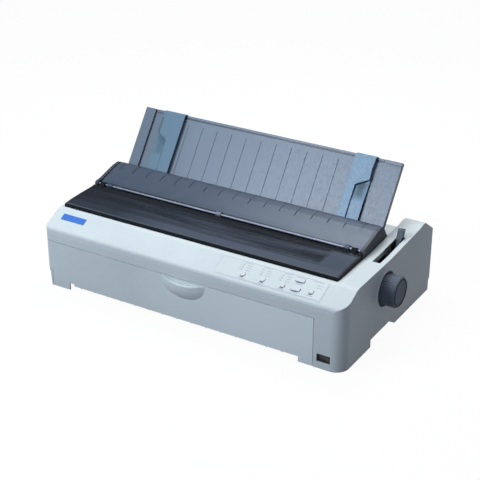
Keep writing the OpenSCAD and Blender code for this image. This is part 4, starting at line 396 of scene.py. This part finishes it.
looks = {
    "casePlastic": (plastic, {"tone": caseTone, "roughness": 0.55, "bump": 0.10, "edge": 0.0009, "edgeWearAndShading": 0.1}),
    "frontPlastic": (plastic, {"tone": caseTone, "roughness": 0.58, "bump": 0.10, "edge": 0.0006, "edgeWearAndShading": 0.1,
        "patches": [
            # painted light: lighter towards the right
            patch((180, -400, -600), (1500, 900, 900), (0.75, 0.82, 0.81), soft=260.0)]}),
    "panelFilm": (plastic, {"tone": (0.69, 0.75, 0.735), "roughness": 0.35, "bump": 0.03, "grainScale": 1500.0,
        "edge": 0.0002}),
    "markInk": (plastic, {"tone": (0.42, 0.47, 0.52), "roughness": 0.5, "bump": 0.02, "edge": 0.0001, "dust": 0.0}),
    # painted shadow below the panel buttons
    "paintedButtonShadow": (plastic, {"tone": (0.13, 0.15, 0.17), "roughness": 0.6, "bump": 0.02, "edge": 0.0001, "dust": 0.0}),
    "badgeBlue": (plastic, {"tone": (0.045, 0.19, 0.62), "roughness": 0.3, "bump": 0.02, "edge": 0.0003,
        "coat": 0.4}),
    # the buttons' darker edges are a painted shadow
    "buttonPlastic": (plastic, {"tone": (0.74, 0.77, 0.78), "paintedEdgeShadingTone": (0.22, 0.25, 0.28), "edgeWearAndShading": 0.9,
        "roughness": 0.5, "bump": 0.06}),
    "lensGreen": (plastic, {"tone": (0.38, 0.50, 0.34), "roughness": 0.2, "bump": 0.01, "coat": 0.5}),
    "cheekDark": (plastic, {"tone": (0.035, 0.042, 0.056), "roughness": 0.5, "dust": 0.03}),
    "ribbedDark": (plastic, {"tone": (0.052, 0.073, 0.105), "specularTint": (0.78, 0.88, 1.0), "roughness": 0.36,
        "bump": 0.10, "edge": 0.0006, "dust": 0.02, "patches": [
            # ticks of painted shade along the grooves on the slope behind the crest
            patch((20, 194, 140), (560, 230, 175), (0.008, 0.011, 0.018), ticks=(58.0, 32.0, 0.9)),
            # rear edge
            patch((10, 222.0, 140), (565, 230, 175), (0.015, 0.02, 0.03), share=0.85),
            # front edge over the hinge rod
            patch((10, 150, 140), (565, 157.2, 160), (0.018, 0.024, 0.034), soft=0.6, share=0.9),
            # middle knuckle
            patch((270, 140, 140), (290, 153.6, 160), (0.20, 0.225, 0.27))]}),
    "guideGrey": (plastic, {"tone": (0.185, 0.235, 0.298), "roughness": 0.34, "bump": 0.10, "edge": 0.0006,
        "dust": 0.03, "patches": [
            # shadow line left of the left edge guide
            patch((42.0, 200, 140), (45.6, 320, 253.5), (0.004, 0.005, 0.008)),
            # right flange, painted dark as shade
            patch((561.95, 200, 100), (600, 320, 270), (0.010, 0.012, 0.02), soft=0.2),
            # painted shadow line under the top edge
            patch((46, 200, 249.6), (530, 320, 251.9), (0.05, 0.065, 0.09), soft=0.6),
            # painted shade: darker towards the left
            patch((-300, -200, -300), (150, 700, 700), (0.10, 0.13, 0.17), soft=110.0, share=0.45)]}),
    "edgeBlue": (plastic, {"tone": (0.19, 0.33, 0.46), "roughness": 0.38, "bump": 0.06, "edge": 0.0006,
        "dust": 0.03, "patches": [
            # painted shade in the sunk faces of both guides
            patch((66.6, 200, 186), (89.2, 320, 222), **trayPaintedShade),
            patch((490.8, 200, 192), (513.4, 320, 222), **trayPaintedShade),
            # painted shade: dark strip at the left guide's upper left
            patch((60, 200, 219), (70.5, 320, 250), (0.006, 0.010, 0.016), soft=1.0),
            # painted shade: darker towards the left
            patch((-300, -200, -300), (200, 700, 700), (0.09, 0.175, 0.23), soft=90.0, share=0.7),
            # painted shade on the right edges of both guides
            patch((86.6, 200, 140), (89.3, 320, 211), (0.010, 0.020, 0.03)),
            patch((514.85, 200, 140), (520, 320, 251), (0.008, 0.010, 0.016), soft=0.1)]}),
    # the lever's lighter edges are a painted highlight on its ridges
    "leverTeal": (plastic, {"tone": (0.085, 0.135, 0.165), "paintedEdgeShadingTone": (0.34, 0.42, 0.44), "roughness": 0.45,
        "bump": 0.08, "edge": 0.0008, "dust": 0.03, "edgeWearAndShading": 0.9}),
    # the knob's lighter edges and rim tone are a painted highlight on its ridges
    "knobDark": (plastic, {"tone": (0.16, 0.185, 0.225), "paintedEdgeShadingTone": (0.42, 0.47, 0.54), "roughness": 0.6,
        "edge": 0.0006, "edgeWearAndShading": 1.0, "dust": 0.0, "specular": 0.12, "patches": [
            # flat outer face, darker than the rim, whose lighter tone is a painted highlight
            patch((638.2, 0, 0), (645, 400, 200), (0.030, 0.037, 0.054))]}),
    "blackPlastic": (plastic, {"tone": (0.022, 0.023, 0.026), "roughness": 0.45, "bump": 0.10}),
    "softRubber": (rubber, {"tone": (0.02, 0.02, 0.021), "roughness": 0.75, "bump": 0.15}),
    "nylonGear": (plastic, {"tone": (0.66, 0.65, 0.58), "roughness": 0.5, "bump": 0.05, "edge": 0.0002}),
    "inkRibbon": (rubber, {"tone": (0.012, 0.012, 0.014), "roughness": 0.85, "bump": 0.3, "grainScale": 2200.0}),
    "solderMask": (plastic, {"tone": (0.03, 0.14, 0.06), "roughness": 0.3, "bump": 0.05, "coat": 0.3,
        "edge": 0.0002}),
    "platedSheet": (metal, {"tone": (0.56, 0.57, 0.59), "roughness": 0.34, "stretch": (1.0, 40.0, 40.0)}),
    "polishedRod": (metal, {"tone": (0.75, 0.76, 0.78), "roughness": 0.16, "stretch": (1.0, 70.0, 70.0)}),
    "dullRod": (metal, {"tone": (0.30, 0.33, 0.40), "roughness": 0.5, "stretch": (1.0, 70.0, 70.0),
        "metallic": 0.8}),
    "castHead": (metal, {"tone": (0.20, 0.205, 0.215), "roughness": 0.5, "stretch": (8.0, 8.0, 8.0),
        "metallic": 0.7}),
    "motorShell": (metal, {"tone": (0.16, 0.165, 0.175), "roughness": 0.42, "stretch": (30.0, 4.0, 30.0),
        "metallic": 0.6}),
    "brassTeeth": (metal, {"tone": (0.66, 0.48, 0.21), "roughness": 0.3, "stretch": (6.0, 30.0, 30.0)}),
    "smokedPlastic": (smoked, {"tone": (0.009, 0.013, 0.019), "deepShare": 0.85, "grainScale": 1200.0,
        "roughness": 0.24, "spread": 0.03, "bump": 0.01, "bumpDepth": 0.0002, "specular": 0.4, "cover": 0.6,
        "streakStretch": (0.12, 2.6, 1.0), "streakSpan": (0.40, 0.62), "streakTone": (0.060, 0.075, 0.100),
        "streakShare": 0.9, "streakCover": 0.2, "patches": [
            # pale front band
            patch((-100, 40, 120), (640, 86, 160), (0.070, 0.087, 0.118), soft=12.0, cover=0.88),
            # painted shade: darker towards the left
            patch((-300, -100, -100), (230, 400, 400), (0.010, 0.014, 0.020), soft=120.0, share=0.72, cover=0.7),
            # pale right band
            patch((515, 50, 120), (700, 136, 160), (0.066, 0.083, 0.112), soft=7.0, cover=0.9),
            # dark band before the hinge, and its black edge
            patch((-100, 126, 120), (515, 160, 170), (0.004, 0.006, 0.009), soft=5.0, cover=0.95),
            patch((-100, 135.5, 120), (640, 160, 170), (0.003, 0.005, 0.008), soft=1.0, cover=1.0, matt=1.0),
            # black front lip, an opaque dark rim with painted shade, and a painted highlight line behind it
            patch((-100, 40, 120), (640, 55.6, 160), (0.003, 0.0045, 0.007), soft=0.6, cover=1.0, matt=0.95),
            patch((-100, 55, 120), (640, 58.6, 160), (0.085, 0.105, 0.13), soft=1.2, cover=0.9),
            # left and right lips, dark with painted shade
            patch((-10, 40, 120), (9.0, 150, 160), lipDarkAndShadeTone, cover=1.0, matt=0.6),
            patch((566.0, 40, 120), (600, 150, 160), lipDarkAndShadeTone, cover=1.0, matt=0.6)]}),
}

finishOf = {
    "lower_case": "casePlastic", "upper_case": "casePlastic", "front_cover": "frontPlastic", "badge": "badgeBlue",
    "panel_film": "panelFilm", "panel_lenses": "lensGreen", "control_board": "solderMask",
    "font_button": "buttonPlastic", "pitch_button": "buttonPlastic", "tear_button": "buttonPlastic",
    "load_button": "buttonPlastic", "feed_button": "buttonPlastic", "pause_button": "buttonPlastic",
    "cheeks": "cheekDark", "hinge_rod": "dullRod", "printer_cover": "smokedPlastic",
    "sheet_guide_cover": "ribbedDark", "sheet_guide": "guideGrey", "edge_guide_left": "edgeBlue",
    "edge_guide_right": "edgeBlue", "knob": "knobDark", "platen_shaft": "polishedRod", "platen": "softRubber",
    "platen_gear": "nylonGear", "idler_gear": "nylonGear", "reduction_gear": "nylonGear", "feed_pinion": "brassTeeth",
    "tractor_shaft": "platedSheet", "feed_motor": "motorShell", "carriage_motor": "motorShell",
    "base_plate": "platedSheet", "left_frame": "platedSheet", "right_frame": "platedSheet", "front_rail": "platedSheet",
    "paper_chute": "blackPlastic", "guide_shafts": "polishedRod", "carriage": "blackPlastic", "print_head": "castHead",
    "timing_belt": "softRubber", "drive_pulley": "platedSheet", "idler_pulley": "nylonGear",
    "ribbon_cartridge": "blackPlastic", "ribbon": "inkRibbon", "ribbon_knob": "leverTeal", "paper_bail": "platedSheet",
    "bail_rollers": "softRubber", "tractor_left": "blackPlastic", "tractor_right": "blackPlastic",
    "sprocket_left": "nylonGear", "sprocket_right": "nylonGear", "tractor_door_left": "cheekDark",
    "tractor_door_right": "cheekDark", "release_lever": "leverTeal", "main_board": "solderMask",
    "power_board": "solderMask", "rear_sockets": "blackPlastic", "switch_housing": "blackPlastic",
    "power_switch": "blackPlastic", "rubber_feet": "softRubber", "case_screws": "platedSheet",
}

materials = {name: make(name, look) for name, (make, look) in looks.items()}
for nodeName, finish in finishOf.items():
    mesh = nodes[nodeName].data
    mesh.materials.clear()
    mesh.materials.append(materials[finish])
print("materials on every node")

# Printed marks on the panel film, and painted shadows below its buttons. x runs across and s up the slope, in mm. Plain
# bars stand where the words were.

panelMarks = {
    "origin": (0.0, 0.006, 0.1195), "slope": math.atan2(18.5, 37.0),  # where x, s and the height start, in metres
    "filmTop": 0.4, "sunk": 0.02, "ink": 0.05,  # a mark starts inside the film and ends one ink layer above it
    "film": (357.0, 561.0, 2.0, 40.3), "frameInset": 1.0, "frameGap": 2.4, "frameLine": 0.5,
    "squareness": 4, "corners": 16,  # n of the outline and how many points it has
    # middles of the buttons
    "columns": [(411.0, 13.0), (449.0, 13.0), (487.0, 13.0)], "upper": [(511.0, 31.0)], "lower": [(511.0, 12.5)],
    "last": [(539.0, 16.0)],
    # bars around a button: across and up from its middle, length and width
    "columnBars": [(0.0, -7.8, 14.0, 1.1), (4.0, 9.0, 9.0, 1.0), (4.0, 14.0, 9.0, 1.0), (4.0, 19.0, 9.0, 1.0),
        (-12.0, 14.0, 0.4, 13.0), (-10.8, 7.5, 2.4, 0.4), (-10.8, 20.5, 2.4, 0.4), (-1.0, 24.0, 18.0, 1.0)],
    "upperBars": [(0.0, 6.2, 20.0, 1.1), (0.0, -7.6, 16.0, 1.0)], "lowerBars": [(0.0, -6.4, 14.0, 0.9)],
    "lastBars": [(0.0, -8.4, 12.0, 1.1), (12.0, 10.0, 6.0, 1.0), (12.0, 15.0, 6.0, 1.0), (3.0, 21.5, 22.0, 1.0)],
    # the painted shadow below a button
    "roundShadow": [(-0.8, -5.3, 7.0, 1.7)], "wideShadow": [(-0.5, -4.3, 12.0, 1.5)],
}


def barsAt(spots, bars):
    return [(x + dx, s + ds, length, width) for x, s in spots for dx, ds, length, width in bars]


def frameBars():
    x0, x1, s0, s1 = panelMarks["film"]
    inset, line = panelMarks["frameInset"], panelMarks["frameLine"]
    length, height = x1 - x0 - panelMarks["frameGap"], s1 - s0 - panelMarks["frameGap"]
    middleX, middleS = (x0 + x1) / 2, (s0 + s1) / 2
    return [(middleX, s0 + inset, length, line), (middleX, s1 - inset, length, line),
        (x0 + inset, middleS, line, height), (x1 - inset, middleS, line, height)]


def makePanelMarks():
    # Each mark is a thin slab: a superellipse outline |x/a|^n + |s/b|^n = 1 in the film and again one layer higher.
    m = panelMarks
    marks = frameBars() + barsAt(m["columns"], m["columnBars"])
    marks += barsAt(m["upper"], m["upperBars"]) + barsAt(m["lower"], m["lowerBars"]) + barsAt(m["last"], m["lastBars"])
    shadowBars = barsAt(m["columns"] + m["last"], m["roundShadow"]) + barsAt(m["lower"] + m["upper"], m["wideShadow"])
    bars = np.array(marks + shadowBars)
    isShadow = np.arange(len(bars)) >= len(marks)
    steps = m["corners"]
    turn = np.linspace(0.0, 2.0 * np.pi, steps, endpoint=False)
    across, along = (np.sign(wave) * np.abs(wave) ** (2 / m["squareness"]) for wave in (np.cos(turn), np.sin(turn)))
    x = bars[:, 0:1] + bars[:, 2:3] / 2 * across
    s = bars[:, 1:2] + bars[:, 3:4] / 2 * along
    x, s = np.stack([x, x], axis=1), np.stack([s, s], axis=1)
    heights = np.array([m["filmTop"] - m["sunk"], m["filmTop"] + m["ink"]])
    lift = np.broadcast_to(heights[None, :, None], x.shape)
    cosA, sinA = math.cos(m["slope"]), math.sin(m["slope"])
    points = np.stack([x, s * cosA - lift * sinA, s * sinA + lift * cosA], axis=-1).reshape(-1, 3) * mm
    points += np.array(m["origin"]) + np.array(bodyShift)
    first = (np.arange(len(bars)) * 2 * steps)[:, None]
    ring = np.arange(steps)[None, :]
    after = (ring + 1) % steps
    sides = np.stack([first + ring, first + after, first + steps + after, first + steps + ring], axis=-1)
    tops = first + steps + ring
    bottoms = first + ring[:, ::-1]
    mesh = bpy.data.meshes.new("panelMarks")
    mesh.from_pydata(points.tolist(), [], sides.reshape(-1, 4).tolist() + tops.tolist() + bottoms.tolist())
    piece = bpy.data.objects.new("panelMarks", mesh)
    bpy.context.scene.collection.objects.link(piece)
    mesh.materials.append(materials["markInk"])
    mesh.materials.append(materials["paintedButtonShadow"])
    slots = np.concatenate([np.repeat(isShadow, steps), isShadow, isShadow]).astype(np.int32)
    mesh.polygons.foreach_set("material_index", slots)
    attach(piece, "case")


makePanelMarks()
print("panel marks printed")

# Floor, lights and camera. The floor and sky read as white to the camera and keep the printer's soft shadow.

stage = {
    "floorHalf": 9.0, "floorSteps": 13, "floorDrop": 0.0002,
    "floorTone": (0.98, 0.98, 0.98), "floorGlow": 0.955,  # how far the floor reads as pure white
    "floorBounce": (0.20, 0.21, 0.25),  # what the floor throws back onto the printer
    "skyTone": (0.66, 0.70, 0.86), "skyStrength": 0.27, "lampAim": (0, 0, 0.1),
    "topSpot": (-0.22, 0.62, 1.75), "topSize": (1.0, 1.0), "topPower": 25.0, "topTone": (0.96, 0.98, 1.0),
    "frontSpot": (-0.70, -1.45, 1.40), "frontSize": (0.8, 0.8), "frontPower": 25.5, "frontTone": (0.80, 0.89, 1.0),
}
white = (1, 1, 1, 1)


def makeFloor():
    # A flat grid of points just under z = 0, wide enough to fill the view.
    steps = stage["floorSteps"]
    axis = np.linspace(-stage["floorHalf"], stage["floorHalf"], steps)
    gx, gy = np.meshgrid(axis, axis)
    points = np.stack([gx, gy, np.full_like(gx, -stage["floorDrop"])], axis=-1).reshape(-1, 3)
    i, j = np.meshgrid(np.arange(steps - 1), np.arange(steps - 1))
    first = (j * steps + i).reshape(-1)
    quads = np.stack([first, first + 1, first + steps + 1, first + steps], axis=1)
    mesh = bpy.data.meshes.new("floor")
    mesh.from_pydata(points.tolist(), [], quads.tolist())
    floor = bpy.data.objects.new("floor", mesh)
    bpy.context.scene.collection.objects.link(floor)
    material = bpy.data.materials.new("paleFloor")
    material.use_nodes = True
    tree = material.node_tree
    tree.nodes.clear()
    rays = tree.nodes.new("ShaderNodeLightPath").outputs
    diffuse = tree.nodes.new("ShaderNodeBsdfDiffuse")
    tone = mixColours(tree, rays["Is Camera Ray"], opaque(stage["floorBounce"]), opaque(stage["floorTone"]))
    tree.links.new(tone, diffuse.inputs["Color"])
    glow = tree.nodes.new("ShaderNodeEmission")
    glow.inputs["Color"].default_value = white
    glow.inputs["Strength"].default_value = 1.0
    seen = mathNode(tree, "MAXIMUM", rays["Is Camera Ray"], rays["Is Glossy Ray"])
    seen = mathNode(tree, "MAXIMUM", seen, rays["Is Transmission Ray"])
    mix = tree.nodes.new("ShaderNodeMixShader")
    tree.links.new(mathNode(tree, "MULTIPLY", seen, stage["floorGlow"]), mix.inputs[0])
    tree.links.new(diffuse.outputs[0], mix.inputs[1])
    tree.links.new(glow.outputs[0], mix.inputs[2])
    out = tree.nodes.new("ShaderNodeOutputMaterial")
    tree.links.new(mix.outputs[0], out.inputs["Surface"])
    mesh.materials.append(material)


def background(tree, tone, strength):
    node = tree.nodes.new("ShaderNodeBackground")
    node.inputs["Color"].default_value = tone
    node.inputs["Strength"].default_value = strength
    return node.outputs[0]


def makeSky():
    world = bpy.data.worlds.new("sky")
    bpy.context.scene.world = world
    world.use_nodes = True
    tree = world.node_tree
    tree.nodes.clear()
    rays = tree.nodes.new("ShaderNodeLightPath").outputs
    seen = mathNode(tree, "MAXIMUM", rays["Is Camera Ray"], rays["Is Transmission Ray"])
    mix = tree.nodes.new("ShaderNodeMixShader")
    tree.links.new(seen, mix.inputs[0])
    tree.links.new(background(tree, opaque(stage["skyTone"]), stage["skyStrength"]), mix.inputs[1])
    tree.links.new(background(tree, white, 1.0), mix.inputs[2])
    out = tree.nodes.new("ShaderNodeOutputWorld")
    tree.links.new(mix.outputs[0], out.inputs["Surface"])


def areaLight(side):
    lamp = bpy.data.lights.new(side + "Light", "AREA")
    lamp.shape = "RECTANGLE"
    lamp.size, lamp.size_y = stage[side + "Size"]
    lamp.energy = stage[side + "Power"]
    lamp.color = stage[side + "Tone"]
    holder = bpy.data.objects.new(side + "Light", lamp)
    bpy.context.scene.collection.objects.link(holder)
    spot = Vector(stage[side + "Spot"])
    away = (spot - Vector(stage["lampAim"])).normalized()
    holder.matrix_world = Matrix.Translation(spot) @ away.to_track_quat("Z", "Y").to_matrix().to_4x4()


# The camera was fitted to the straight edges of the photograph: angles in degrees, lengths in metres.
cameraView = {
    "azimuth": 31.31, "elevation": 26.36, "distance": 2.2334, "aim": (0.305, 0.150, 0.100),
    "aimRight": 0.01652, "aimUp": 0.00518,  # small shifts of the aim in the picture plane
    "focalPixels": 1242.24, "pictureWidth": 480.0, "sensorWidth": 36.0, "farthest": 50.0,
}


def makeCamera():
    view = cameraView
    az, el = math.radians(view["azimuth"]), math.radians(view["elevation"])
    forward = Vector((-math.sin(az) * math.cos(el), math.cos(az) * math.cos(el), -math.sin(el)))
    right = Vector((math.cos(az), math.sin(az), 0.0))
    up = right.cross(forward)
    aim = Vector(view["aim"]) + right * view["aimRight"] + up * view["aimUp"] + bodyShift
    spot = aim - forward * view["distance"]
    lens = bpy.data.cameras.new("camera")
    lens.sensor_width = view["sensorWidth"]
    lens.lens = view["focalPixels"] * view["sensorWidth"] / view["pictureWidth"]
    lens.clip_end = view["farthest"]
    holder = bpy.data.objects.new("camera", lens)
    bpy.context.scene.collection.objects.link(holder)
    turn = Matrix((right, up, -forward)).transposed().to_4x4()
    holder.matrix_world = Matrix.Translation(spot) @ turn
    bpy.context.scene.camera = holder


makeFloor()
makeSky()
areaLight("top")
areaLight("front")
makeCamera()
bpy.context.scene.view_settings.view_transform = "Standard"
print("floor, lights and camera placed")
